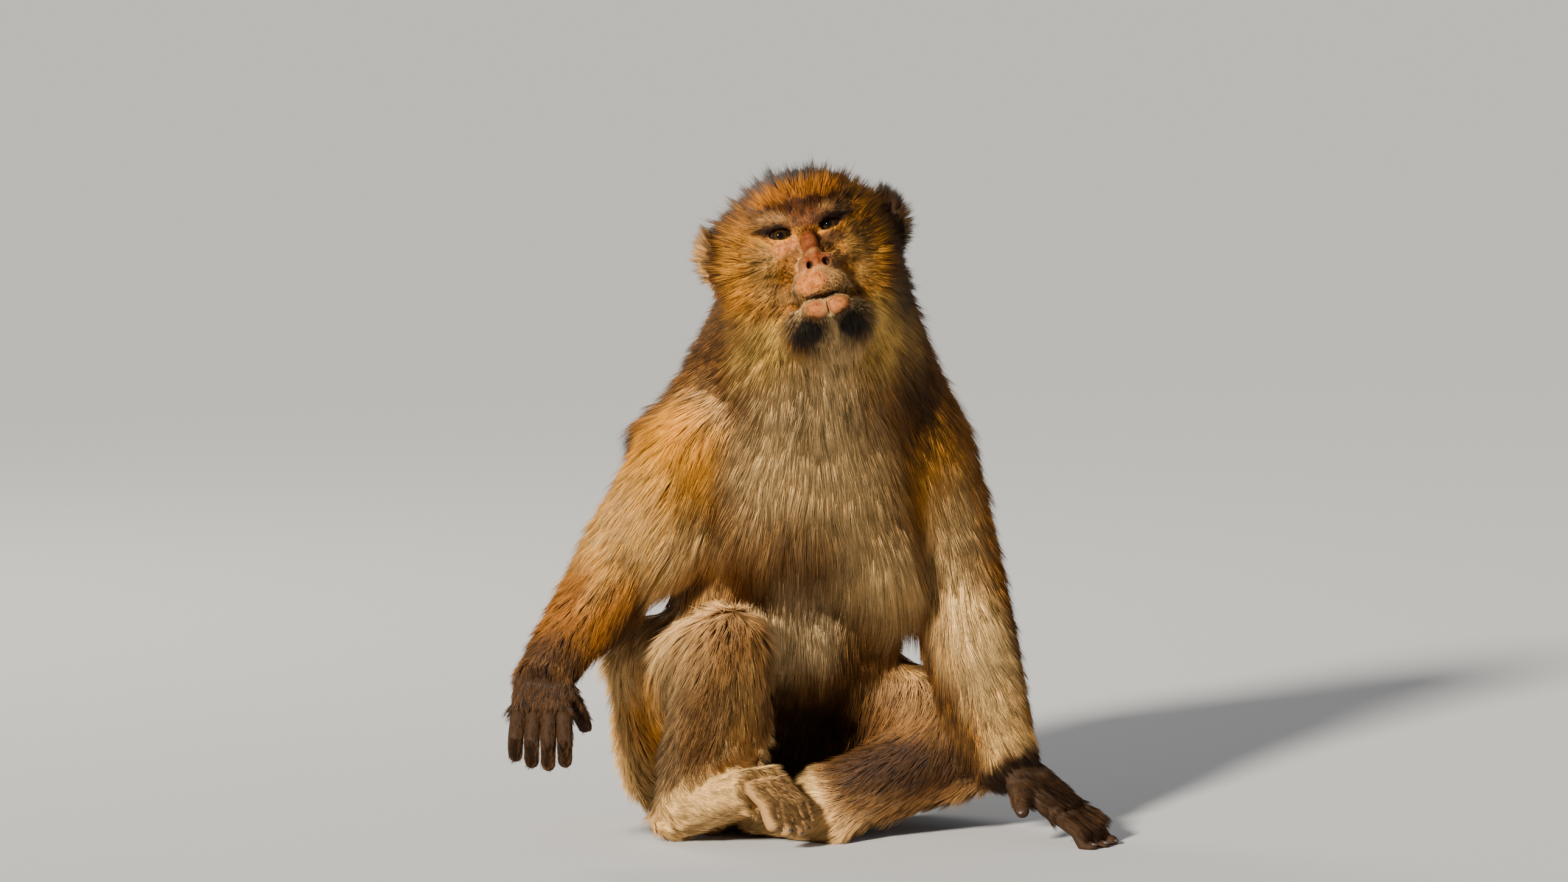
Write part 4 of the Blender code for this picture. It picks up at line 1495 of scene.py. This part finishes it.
class Tree:
    """A node tree being laid out, with short ways to add and join nodes."""

    def __init__(self, tree: bpy.types.NodeTree) -> None:
        """Work on an existing tree."""
        self.tree = tree

    def add(self, kind: str, **settings: Any) -> bpy.types.Node:
        """Add a node and set its properties.

        Args:
            kind: the node's type.
            settings: property values.

        Returns:
            The new node.
        """
        node = self.tree.nodes.new(kind)
        for name, value in settings.items():
            setattr(node, name, value)
        return node

    def feed(self, socket: bpy.types.NodeSocket, value: Any) -> None:
        """Link a flow to an input socket, or set the socket to a plain value."""
        if isinstance(value, Flow):
            self.tree.links.new(value.socket, socket)
        else:
            socket.default_value = value

    def run(self, kind: str, inputs: dict[Any, Any], output: Any = 0, **settings: Any) -> Flow:
        """Add a node, feed it, and return one of its outputs.

        Args:
            kind: the node's type.
            inputs: values or flows by socket name or number.
            output: which output to return; None picks the first one in use.
            settings: property values.

        Returns:
            The chosen output.
        """
        node = self.add(kind, **settings)
        for key, value in inputs.items():
            self.feed(node.inputs[key], value)
        if output is None:
            return Flow(self, next(s for s in node.outputs if s.enabled))
        return Flow(self, node.outputs[output])

    def place(self) -> Flow:
        """The place on the object, in a material."""
        return self.run("ShaderNodeTexCoord", {}, "Object")

    def noise(self, place: Flow, scale: float, detail: float, output: Any = 0) -> Flow:
        """Noise of a given grain at a place."""
        return self.run("ShaderNodeTexNoise", {"Vector": place, "Scale": scale, "Detail": detail}, output)

    def attribute(self, name: str, kind: str) -> Flow:
        """Read a named attribute in a geometry tree."""
        return self.run("GeometryNodeInputNamedAttribute", {"Name": name}, None, data_type=kind)

    def store(self, geometry: Flow, name: str, value: Any, kind: str, domain: str = "POINT") -> Flow:
        """Store a named attribute in a geometry tree.

        Args:
            geometry: what takes it.
            name: the attribute's name.
            value: a flow or plain value.
            kind: its data type.
            domain: where it is stored.

        Returns:
            The geometry with the attribute.
        """
        node = self.add("GeometryNodeStoreNamedAttribute", data_type=kind, domain=domain)
        self.feed(node.inputs["Geometry"], geometry)
        node.inputs["Name"].default_value = name
        self.feed(next(s for s in node.inputs if s.enabled and s.name == "Value"), value)
        return Flow(self, node.outputs[0])

    def random(self, low: Any, high: Any, seed: int) -> Flow:
        """A random value or vector for each element, with a fixed seed."""
        wide = isinstance(low, tuple)
        node = self.add("FunctionNodeRandomValue", data_type="FLOAT_VECTOR" if wide else "FLOAT")
        lows = [s for s in node.inputs if s.enabled and s.name == "Min"]
        highs = [s for s in node.inputs if s.enabled and s.name == "Max"]
        self.feed(lows[0], low)
        self.feed(highs[0], high)
        node.inputs["Seed"].default_value = seed
        return Flow(self, next(s for s in node.outputs if s.enabled))


@dataclass
class Coat:
    """The coat: overlapping tufts laid over the skin piece by piece.

    Attributes:
        lock: how many tufts gather in a lock.
        gather: how far a tuft's tip is drawn to its lock's tip.
        stray: how far the lie wanders from tuft to tuft.
        lock_stray: how far it wanders from lock to lock.
        astray: the share of tufts that lie with the others; the rest stand out.
        sway: how far the lie wanders from place to place.
        sway_grain: how fine that wandering is, 1/m.
        slope: how far a tuft climbs along its length.
        mixed: how much neighbouring tufts differ in tone.
        clumped: how much clumps of tufts differ in tone.
        clump_grain: how fine the clumps are, 1/m.
        darker: what is taken off the tone all over.
        shortest: of a tuft, share of the length that its place gives.
        longest: of a tuft, likewise.
        lifted: how high a tuft lies at least, share of the rise that its place gives.
        loose: how much higher the loosest of the lying tufts reach.
        upright: how much higher the ones that stand out reach.
        flat: how thick a tuft is against its width.
        sunk: how deep a tuft's root sits in the skin, mm.
        patch: size of a tuft's patch on the bake map.
    """

    lock: float = 22.0
    gather: float = 0.5
    stray: float = 0.16
    lock_stray: float = 0.05
    astray: float = 0.93
    sway: float = 0.9
    sway_grain: float = 38.0
    slope: float = 0.05
    mixed: float = 0.5
    clumped: float = 1.9
    clump_grain: float = 230.0
    darker: float = -0.70
    shortest: float = 0.65
    longest: float = 1.2
    lifted: float = 0.62
    loose: float = 0.55
    upright: float = 0.8
    flat: float = 0.55
    sunk: float = 0.4
    patch: float = 0.003

    def tree(self, material: bpy.types.Material) -> bpy.types.NodeTree:
        """Lay out the tree that grows tufts on the skin.

        Args:
            material: what the tufts are made of.

        Returns:
            A geometry node group with named inputs.
        """
        group = bpy.data.node_groups.new("tufts", "GeometryNodeTree")
        face = group.interface
        face.new_socket("Geometry", in_out="INPUT", socket_type="NodeSocketGeometry")
        for name, kind in (("Plot", "NodeSocketInt"), ("Density", "NodeSocketFloat"),
                           ("Lock Density", "NodeSocketFloat"), ("Seed", "NodeSocketInt")):
            face.new_socket(name, in_out="INPUT", socket_type=kind)
        face.new_socket("Geometry", in_out="OUTPUT", socket_type="NodeSocketGeometry")
        tree = Tree(group)
        given = tree.add("NodeGroupInput")
        skin = Flow(tree, given.outputs["Geometry"])
        mine = tree.run("FunctionNodeCompare", {2: tree.attribute("plot", "INT"),
                                                3: Flow(tree, given.outputs["Plot"])}, None,
                        data_type="INT", operation="EQUAL")
        thick = tree.attribute("thick", "FLOAT")
        locks = self.locks(tree, skin, mine, thick, given)
        roots = self.roots(tree, skin, mine, thick, given)
        roots = self.aimed(tree, roots, locks)
        tufts = self.shaped(tree, roots)
        dressed = tree.run("GeometryNodeSetMaterial", {"Geometry": tufts, "Material": material})
        out = tree.add("NodeGroupOutput")
        tree.feed(out.inputs["Geometry"], dressed)
        return group

    def scattered(self, tree: Tree, skin: Flow, mine: Flow, density: Flow, seed: Flow) -> Flow:
        """Scatter roots over the skin and keep the skin's normal on each."""
        node = tree.add("GeometryNodeDistributePointsOnFaces", distribute_method="RANDOM")
        tree.feed(node.inputs["Mesh"], skin)
        tree.feed(node.inputs["Selection"], mine)
        tree.feed(next(s for s in node.inputs if s.enabled and s.name == "Density"), density)
        tree.feed(node.inputs["Seed"], seed)
        points = Flow(tree, node.outputs["Points"])
        return tree.store(points, "out", Flow(tree, node.outputs["Normal"]), "FLOAT_VECTOR")

    def tip(self, tree: Tree, seed: int, stray: float) -> Flow:
        """Where the tip of the hair that grows from a root would lie."""
        out = tree.attribute("out", "FLOAT_VECTOR")
        lie = tree.attribute("lie", "FLOAT_VECTOR")
        root = tree.run("GeometryNodeInputPosition", {})
        broad = tree.noise(root, self.sway_grain, 1.0, "Color")
        wander = tree.random((-stray,) * 3, (stray,) * 3, seed)
        lie = lie + (broad - (0.5, 0.5, 0.5)) * self.sway + wander
        lie = (lie - out * lie.dot(out)).unit()
        length = tree.attribute("length", "FLOAT") * tree.random(self.shortest, self.longest, seed + 1)
        lift = tree.random(0.0, 1.0, seed + 2)
        upright = lift.over(self.astray) * self.upright
        lift = lift * lift * lift * self.loose + upright + self.lifted
        rise = tree.attribute("rise", "FLOAT") * lift + length * self.slope
        return root + lie * length + out * rise

    def locks(self, tree: Tree, skin: Flow, mine: Flow, thick: Flow, given: bpy.types.Node) -> Flow:
        """Scatter the middles of the locks, each with the place its tip aims at."""
        density = thick * Flow(tree, given.outputs["Lock Density"])
        points = self.scattered(tree, skin, mine, density, Flow(tree, given.outputs["Seed"]))
        return tree.store(points, "aim", self.tip(tree, LOCK_SEED, self.lock_stray), "FLOAT_VECTOR")

    def roots(self, tree: Tree, skin: Flow, mine: Flow, thick: Flow, given: bpy.types.Node) -> Flow:
        """Scatter the roots of the tufts."""
        density = thick * Flow(tree, given.outputs["Density"])
        seed = Flow(tree, given.outputs["Seed"]) + ROOT_SEED
        return self.scattered(tree, skin, mine, density, seed)

    def aimed(self, tree: Tree, roots: Flow, locks: Flow) -> Flow:
        """Give each root its tip, drawn towards the tip of the nearest lock."""
        place = tree.run("GeometryNodeInputPosition", {})
        nearest = tree.run("GeometryNodeSampleNearest", {"Geometry": locks, "Sample Position": place})
        aim = tree.add("GeometryNodeSampleIndex", data_type="FLOAT_VECTOR", domain="POINT")
        tree.feed(aim.inputs["Geometry"], locks)
        tree.feed(next(s for s in aim.inputs if s.enabled and s.name == "Value"),
                  tree.attribute("aim", "FLOAT_VECTOR"))
        tree.feed(aim.inputs["Index"], nearest)
        goal = Flow(tree, next(s for s in aim.outputs if s.enabled))
        own = self.tip(tree, TUFT_SEED, self.stray)
        tip = own + (goal - own) * self.gather
        roots = tree.store(roots, "tip", tip, "FLOAT_VECTOR")
        roots = tree.store(roots, "root", place, "FLOAT_VECTOR")
        clumps = tree.noise(place, self.clump_grain, 2.0)
        tone = tree.random(0.0, self.mixed, TONE_SEED) + clumps * self.clumped + self.darker
        roots = tree.store(roots, "tone", tone, "FLOAT")
        return tree.store(roots, "flat", tree.attribute("shape", "FLOAT_VECTOR"), "FLOAT_VECTOR")

    def shaped(self, tree: Tree, roots: Flow) -> Flow:
        """Stand a tapering tuft on each root and bend it to its tip."""
        cone = tree.run("GeometryNodeMeshCone", {"Vertices": 3, "Side Segments": 1, "Radius Top": 0.0,
                                                 "Radius Bottom": 1.0, "Depth": 1.0},
                        "Mesh", fill_type="NONE")
        place = tree.run("GeometryNodeInputPosition", {})
        cone = tree.store(cone, "along", place.part(2), "FLOAT")
        cone = tree.store(cone, "around", (place * (1.0, 1.0, 0.0)).unit(), "FLOAT_VECTOR")
        held = tree.run("GeometryNodeInstanceOnPoints", {"Points": roots, "Instance": cone})
        tufts = tree.run("GeometryNodeRealizeInstances", {"Geometry": held})
        along = tree.attribute("along", "FLOAT")
        around = tree.attribute("around", "FLOAT_VECTOR")
        root = tree.attribute("root", "FLOAT_VECTOR")
        out = tree.attribute("out", "FLOAT_VECTOR")
        reach = tree.attribute("tip", "FLOAT_VECTOR") - root
        ahead = reach.unit()
        across = out.cross(ahead).unit()
        above = ahead.cross(across)
        rest = along * -1.0 + 1.0
        girth = tree.attribute("width", "FLOAT") * rest
        flank = across * around.part(0) + above * around.part(1) * self.flat
        place = root - out * (self.sunk * MM) + reach * along + flank * girth * 0.5
        low = (place.part(2) * -1.0).at_least(0.0)
        place = place + tree.run("ShaderNodeCombineXYZ", {"Z": low})
        tufts = tree.run("GeometryNodeSetPosition", {"Geometry": tufts, "Position": place})
        flat = tree.attribute("flat", "FLOAT_VECTOR")
        corner = tree.run("ShaderNodeCombineXYZ", {"X": around.part(0) * rest * (self.patch * 0.5),
                                                   "Y": (along - 0.5) * self.patch})
        tufts = tree.store(tufts, "OFBake", flat + corner, "FLOAT2", "CORNER")
        return tree.run("GeometryNodeSetShadeSmooth", {"Geometry": tufts})

    def grow(self, skin: bpy.types.Object, group: bpy.types.NodeTree, plot: Plot) -> bpy.types.Object:
        """Grow one piece of the coat.

        Args:
            skin: the skin with its attributes.
            group: the tree of tree().
            plot: which piece.

        Returns:
            The piece as a plain mesh.
        """
        name = "coat_" + plot.name.lower()
        thing = link(name, skin.data.copy())
        thing.data.materials.clear()
        density = TUFTS[plot] / self.weight(skin.data, plot)
        values = {"Plot": plot.value, "Density": density, "Lock Density": density / self.lock,
                  "Seed": SEED + plot.value}
        grower = thing.modifiers.new("Grow", "NODES")
        grower.node_group = group
        for item in group.interface.items_tree:
            if item.in_out == "INPUT" and item.name in values:
                grower[item.identifier] = values[item.name]
        settle(thing)
        for attribute in list(thing.data.attributes):
            if attribute.name in SPENT:
                thing.data.attributes.remove(attribute)
        return thing

    @staticmethod
    def weight(mesh: bpy.types.Mesh, plot: Plot) -> float:
        """The area of a piece in square metres, weighed by how thickly it grows."""
        points, triangles = mesh_points(mesh), mesh_triangles(mesh)
        thick = np.empty(len(points), np.float32)
        mesh.attributes["thick"].data.foreach_get("value", thick)
        plots = np.empty(len(points), np.int32)
        mesh.attributes["plot"].data.foreach_get("value", plots)
        a, b, c = (points[triangles[:, k]] for k in range(3))
        area = np.linalg.norm(np.cross(b - a, c - a), axis=1) / 2
        mine = (plots[triangles] == plot.value).mean(1)
        return float((area * mine * thick[triangles].mean(1)).sum())


SPENT = ("aim", "tip", "root", "out", "lie", "length", "width", "rise", "thick", "bare", "plot",
         "flat", "around", "shape")


# --- finishes ------------------------------------------------------------------------------


@dataclass(frozen=True)
class Finish:
    """How a surface looks.

    Attributes:
        name: of the material.
        roughness: of its surface.
        gloss: its specular level.
    """

    name: str
    roughness: float = 0.6
    gloss: float = 0.4

    def start(self) -> tuple[bpy.types.Material, Tree, bpy.types.Node]:
        """Make the material with its plain values set.

        Returns:
            The material, its tree and its shader.
        """
        material = bpy.data.materials.new(self.name)
        material.use_nodes = True
        tree = Tree(material.node_tree)
        shader = material.node_tree.nodes["Principled BSDF"]
        shader.inputs["Roughness"].default_value = self.roughness
        shader.inputs["Specular IOR Level"].default_value = self.gloss
        return material, tree, shader

    @staticmethod
    def read(tree: Tree, name: str, output: str = "Color") -> Flow:
        """Read a stored attribute in a material."""
        return tree.run("ShaderNodeAttribute", {}, output, attribute_name=name)

    @staticmethod
    def mix(tree: Tree, share: Any, one: Any, other: Any, blend: str = "MIX") -> Flow:
        """Mix two colours.

        Args:
            tree: the material's tree.
            share: how much of the other colour shows.
            one: the first colour.
            other: the other colour.
            blend: how they mix.

        Returns:
            The mixed colour.
        """
        node = tree.add("ShaderNodeMix", data_type="RGBA", blend_type=blend)
        tree.feed(node.inputs["Factor"], share)
        tree.feed(node.inputs[6], one)
        tree.feed(node.inputs[7], other)
        return Flow(tree, node.outputs[2])

    @staticmethod
    def ramp(tree: Tree, value: Flow, stops: Sequence[tuple[float, Colour]]) -> Flow:
        """A colour that changes with a value.

        Args:
            tree: the material's tree.
            value: what picks the colour.
            stops: positions and colours.

        Returns:
            The picked colour.
        """
        node = tree.add("ShaderNodeValToRGB")
        elements = node.color_ramp.elements
        while len(elements) < len(stops):
            elements.new(0.5)
        for element, (position, colour) in zip(elements, stops):
            element.position = position
            element.color = (*colour, 1.0)
        tree.feed(node.inputs[0], value)
        return Flow(tree, node.outputs[0])


def grey(value: float) -> Colour:
    """A grey of the given value."""
    return (value,) * 3


def coat_finish() -> bpy.types.Material:
    """Hair: shaded at the root, coloured along its length, tipped dark or pale."""
    material, tree, shader = Finish("coat", roughness=0.55, gloss=0.25).start()
    along = Finish.read(tree, "along", "Fac")
    tone = Finish.read(tree, "tone", "Fac")
    hair = Finish.read(tree, "hair")
    tips = Finish.read(tree, "tips")
    tipped = Finish.ramp(tree, along, [(0.45, grey(0.0)), (1.0, grey(1.0))])
    colour = Finish.mix(tree, tipped, hair, tips)
    root = Finish.ramp(tree, along, [(0.0, grey(0.24)), (0.35, grey(0.8)), (0.7, grey(1.0))])
    colour = Finish.mix(tree, 1.0, colour, root, "MULTIPLY")
    shade = Finish.ramp(tree, tone, [(0.0, grey(0.06)), (0.22, grey(0.25)), (0.45, grey(0.95)),
                                     (0.8, grey(1.25)), (1.0, grey(1.9))])
    soft = Finish.ramp(tree, tone, [(0.0, grey(0.62)), (0.4, grey(0.95)), (1.0, grey(1.3))])
    fleck = Finish.read(tree, "fleck", "Fac")
    place = tree.place()
    broad = tree.noise(place, 42.0, 3.0)
    drift = Finish.ramp(tree, broad, [(0.34, (0.80, 0.77, 0.74)), (0.5, grey(1.0)),
                                      (0.66, (1.12, 1.10, 1.06))])
    colour = Finish.mix(tree, 1.0, colour, drift, "MULTIPLY")
    colour = Finish.mix(tree, 1.0, colour, Finish.mix(tree, fleck, soft, shade), "MULTIPLY")
    tree.feed(shader.inputs["Base Color"], colour)
    return material


def skin_finish() -> bpy.types.Material:
    """Skin: freckled and creased where it is bare; under the coat, the hair's colour halved as painted
    shade.
    """
    material, tree, shader = Finish("skin", roughness=0.7, gloss=0.12).start()
    place = tree.place()
    hair = Finish.read(tree, "hair")
    bare = Finish.read(tree, "bare", "Fac")
    # Painted shade: under the coat the skin takes the hair's colour at half its value, as the shade deep
    # in the coat.
    under = Finish.mix(tree, 1.0, hair, (*grey(0.5), 1.0), "MULTIPLY")
    spots = tree.noise(place, 900.0, 3.0)
    freckles = Finish.ramp(tree, spots, [(0.36, grey(0.72)), (0.47, grey(0.97)), (0.75, grey(1.12))])
    flesh = Finish.mix(tree, 1.0, hair, freckles, "MULTIPLY")
    patches = tree.noise(place, 260.0, 4.0)
    mottle = Finish.ramp(tree, patches, [(0.38, (0.66, 0.58, 0.52)), (0.5, grey(1.0)),
                                         (0.66, (1.15, 1.12, 1.1))])
    flesh = Finish.mix(tree, 1.0, flesh, mottle, "MULTIPLY")
    tree.feed(shader.inputs["Base Color"], Finish.mix(tree, bare, under, flesh))
    creases = tree.run("ShaderNodeTexVoronoi", {"Vector": place, "Scale": 700.0}, "Distance")
    bump = tree.run("ShaderNodeBump", {"Height": creases + spots * 0.6, "Strength": 0.35,
                                       "Distance": 0.0005}, "Normal")
    tree.feed(shader.inputs["Normal"], bump)
    return material


def eye_finish() -> bpy.types.Material:
    """Eye: black pupil, dark brown iris with a black rim, dark white."""
    material, tree, shader = Finish("eye", roughness=0.10, gloss=0.04).start()
    angle = Finish.read(tree, "gaze", "Fac")
    place = tree.place()
    fibres = tree.noise(place, 1600.0, 2.0)
    pupil, white = (0.003, 0.002, 0.002), (0.02, 0.012, 0.008)
    colour = Finish.ramp(tree, angle, [
        (0.0, pupil), (0.15, pupil), (0.18, (0.016, 0.007, 0.002)), (0.28, (0.030, 0.013, 0.004)),
        (0.34, (0.010, 0.005, 0.002)), (0.38, (0.006, 0.004, 0.003)), (0.44, white), (1.0, white)])
    tone = Finish.ramp(tree, fibres, [(0.35, grey(0.7)), (0.65, grey(1.25))])
    tree.feed(shader.inputs["Base Color"], Finish.mix(tree, 1.0, colour, tone, "MULTIPLY"))
    shader.inputs["Coat Weight"].default_value = 0.1
    shader.inputs["Coat Roughness"].default_value = 0.02
    return material


def nail_finish() -> bpy.types.Material:
    """Nail: dark horn."""
    material, tree, shader = Finish("nail", roughness=0.35, gloss=0.5).start()
    place = tree.place()
    grain = tree.noise(place, 500.0, 2.0)
    colour = Finish.ramp(tree, grain, [(0.3, (0.03, 0.02, 0.016)), (0.7, (0.075, 0.052, 0.04))])
    tree.feed(shader.inputs["Base Color"], colour)
    return material


# --- eyes and nails ----------------------------------------------------------------------------


@dataclass
class Eyes:
    """Two eyeballs with a raised cornea.

    Attributes:
        anatomy: the measured solids.
        gaze_up: how far the eyes look up from where the face points, degrees.
        gaze_left: how far they look to the animal's left, degrees.
        bulge: how far the cornea stands out, share of the radius.
        cornea: angles from the gaze over which it stands out.
    """

    anatomy: Anatomy
    gaze_up: float = -4.0
    gaze_left: float = -3.0
    bulge: float = 0.05
    cornea: Span = Span(0.62, 0.2)

    def build(self, side: Side) -> bpy.types.Object:
        """Make one eye.

        Args:
            side: which one.

        Returns:
            The eye, with the angle from its gaze stored on it.
        """
        node = "eye_" + side.word
        low, high = self.anatomy.box(node)
        deeper = np.array([0.0, Face.eye_back - self.anatomy.set_back, 0.0]) + Face.shift
        centre = self.anatomy.middle(node) + self.anatomy.head_axes @ deeper * MM
        radius = float((high - low).max() / 2)
        up, left = math.radians(self.gaze_up), math.radians(self.gaze_left)
        local = np.array([math.sin(left), -math.cos(up) * math.cos(left), math.sin(up)])
        gaze = unit(self.anatomy.head_axes @ local)
        ball = bmesh.new()
        bmesh.ops.create_uvsphere(ball, u_segments=96, v_segments=64, radius=1.0)
        mesh = finished(node + "_ball", ball)
        rays = mesh_points(mesh)
        angle = np.arccos(np.clip(rays @ gaze, -1, 1))
        size = radius * (1 + self.bulge * self.cornea.of(angle))
        set_points(mesh, centre + rays * size[:, None])
        put(mesh, "gaze", angle / math.pi * 2, "FLOAT")
        mesh.shade_smooth()
        return link(node + "_ball", mesh)


@dataclass
class Nails:
    """A small curved nail on the tip of every finger and toe.

    Attributes:
        anatomy: the measured solids.
        length: of a nail, mm.
        width: of a nail, mm.
        thick: of a nail, mm.
        short: how far the middle of a nail lies short of the digit's end, mm.
        high: how far it lies above the digit's middle, mm.
    """

    anatomy: Anatomy
    length: float = 8.0
    width: float = 6.0
    thick: float = 2.2
    short: float = 2.6
    high: float = 3.3

    def build(self) -> bpy.types.Object:
        """Make all the nails as one piece."""
        whole = bmesh.new()
        for node in self.anatomy.digits:
            rings = self.anatomy.rings(node)
            tip = rings[-1]
            ahead = unit(rings[-1] - rings[-3])
            back = self.anatomy.back_of(node)
            across = np.cross(back, ahead)
            turn = Matrix(np.stack([across, back, ahead], axis=1).tolist()).to_4x4()
            place = Vector(tip - ahead * self.short * MM + back * self.high * MM)
            size = Matrix.Diagonal((self.width / 2 * MM, self.thick / 2 * MM,
                                    self.length / 2 * MM, 1.0))
            bmesh.ops.create_uvsphere(whole, u_segments=14, v_segments=10, radius=1.0,
                                      matrix=Matrix.Translation(place) @ turn @ size)
        for vertex in whole.verts:
            vertex.co.z = max(vertex.co.z, 0.0)
        mesh = finished("nails", whole)
        mesh.shade_smooth()
        return link("nails", mesh)


# --- studio --------------------------------------------------------------------------------------


@dataclass(frozen=True)
class Lamp:
    """A square soft light that faces the animal.

    Attributes:
        name: of the light.
        place: where it hangs, m.
        size: its side, m.
        power: in watts.
        colour: of its light.
    """

    name: str
    place: Triple
    size: float
    power: float
    colour: Colour


LAMPS = [
    Lamp("fill", (2.2, -2.6, 1.2), 1.8, 14.0, (0.95, 0.97, 1.0)),
    Lamp("rim", (-1.6, 1.9, 1.9), 1.0, 40.0, (1.0, 0.94, 0.84)),
]


@dataclass
class Studio:
    """Pale floor, soft light and the camera.

    Attributes:
        aim: what the camera looks at.
        distance: from there to the camera, m.
        elevation: of the camera above the horizon, degrees.
        lens: focal length, mm.
        wide: half the floor's width, m.
        pale: the floor's colour.
        key_way: which way the key light falls.
        key_colour: of its light.
        key_power: its strength.
        key_width: how wide it looks from the animal, degrees.
        sky_colour: of the light from all round.
        sky_power: its strength.
        lit: what the lamps face.
    """

    aim: Triple = (-0.0240, 0.0022, 0.311)
    distance: float = 6.87
    elevation: float = 5.0
    lens: float = 200.0
    wide: float = 90.0
    pale: Colour = (0.50, 0.50, 0.505)
    key_way: Triple = (0.43, 0.83, -0.35)
    key_colour: Colour = (1.0, 0.93, 0.80)
    key_power: float = 12.0
    key_width: float = 7.0
    sky_colour: Colour = (0.84, 0.90, 1.0)
    sky_power: float = 0.24
    lit: Triple = (0, 0, 0.25)

    def floor(self) -> bpy.types.Object:
        """A wide plain floor."""
        sheet = bmesh.new()
        bmesh.ops.create_grid(sheet, x_segments=2, y_segments=2, size=self.wide)
        thing = link("floor", finished("floor", sheet))
        material, _, shader = Finish("floor", roughness=0.9, gloss=0.1).start()
        shader.inputs["Base Color"].default_value = (*self.pale, 1.0)
        thing.data.materials.append(material)
        return thing

    def sun(self) -> None:
        """Hang the key light far off, to the front and right of the animal."""
        lamp = bpy.data.lights.new("key", "SUN")
        lamp.angle = math.radians(self.key_width)
        lamp.energy = self.key_power
        lamp.color = self.key_colour
        self.turned(link("key", lamp), Vector(self.key_way))

    @staticmethod
    def turned(thing: bpy.types.Object, way: Vector) -> None:
        """Turn a lamp or camera so that it looks a given way."""
        thing.rotation_euler = way.to_track_quat("-Z", "Y").to_euler()

    def hang(self, lamp: Lamp) -> None:
        """Hang a square soft light."""
        light = bpy.data.lights.new(lamp.name, "AREA")
        light.size, light.energy, light.color = lamp.size, lamp.power, lamp.colour
        thing = link(lamp.name, light)
        thing.location = lamp.place
        self.turned(thing, Vector(self.lit) - Vector(lamp.place))

    def camera(self) -> None:
        """Set the camera."""
        lens = bpy.data.cameras.new("camera")
        lens.lens = self.lens
        lens.sensor_width = 36.0
        thing = link("camera", lens)
        rise = math.radians(self.elevation)
        back = Vector((0, -math.cos(rise), math.sin(rise)))
        thing.location = Vector(self.aim) + back * self.distance
        self.turned(thing, -back)
        bpy.context.scene.camera = thing

    def build(self) -> bpy.types.Object:
        """Set up floor, lights, sky and camera."""
        world = bpy.data.worlds.new("room")
        world.use_nodes = True
        sky = world.node_tree.nodes["Background"]
        sky.inputs["Color"].default_value = (*self.sky_colour, 1.0)
        sky.inputs["Strength"].default_value = self.sky_power
        bpy.context.scene.world = world
        self.sun()
        for lamp in LAMPS:
            self.hang(lamp)
        self.camera()
        return self.floor()


# --- assembly ---------------------------------------------------------------------------------------


def main() -> None:
    """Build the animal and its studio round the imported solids."""
    logging.basicConfig(level=logging.INFO, format="%(name)s: %(message)s")
    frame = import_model()
    anatomy = Anatomy(frame["nodes"])

    skin = Skin(anatomy).build()
    hair = coat_finish()
    coat = Coat()
    group = coat.tree(hair)
    for plot in Plot:
        piece = coat.grow(skin, group, plot)
        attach(piece, "root")
        LOG.info("%s: %d triangles", piece.name, len(mesh_triangles(piece.data)))
    skin.data.materials.append(skin_finish())
    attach(skin, "root")
    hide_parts(*anatomy.flesh)

    dressed = eye_finish()
    for side in Side:
        eye = Eyes(anatomy).build(side)
        eye.data.materials.append(dressed)
        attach(eye, "root")
        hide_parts("eye_" + side.word)
        LOG.info("%s", eye.name)

    nails = Nails(anatomy).build()
    nails.data.materials.append(nail_finish())
    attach(nails, "root")
    LOG.info("nails: %d", len(anatomy.digits))

    Studio().build()


if __name__ == "__main__":
    main()
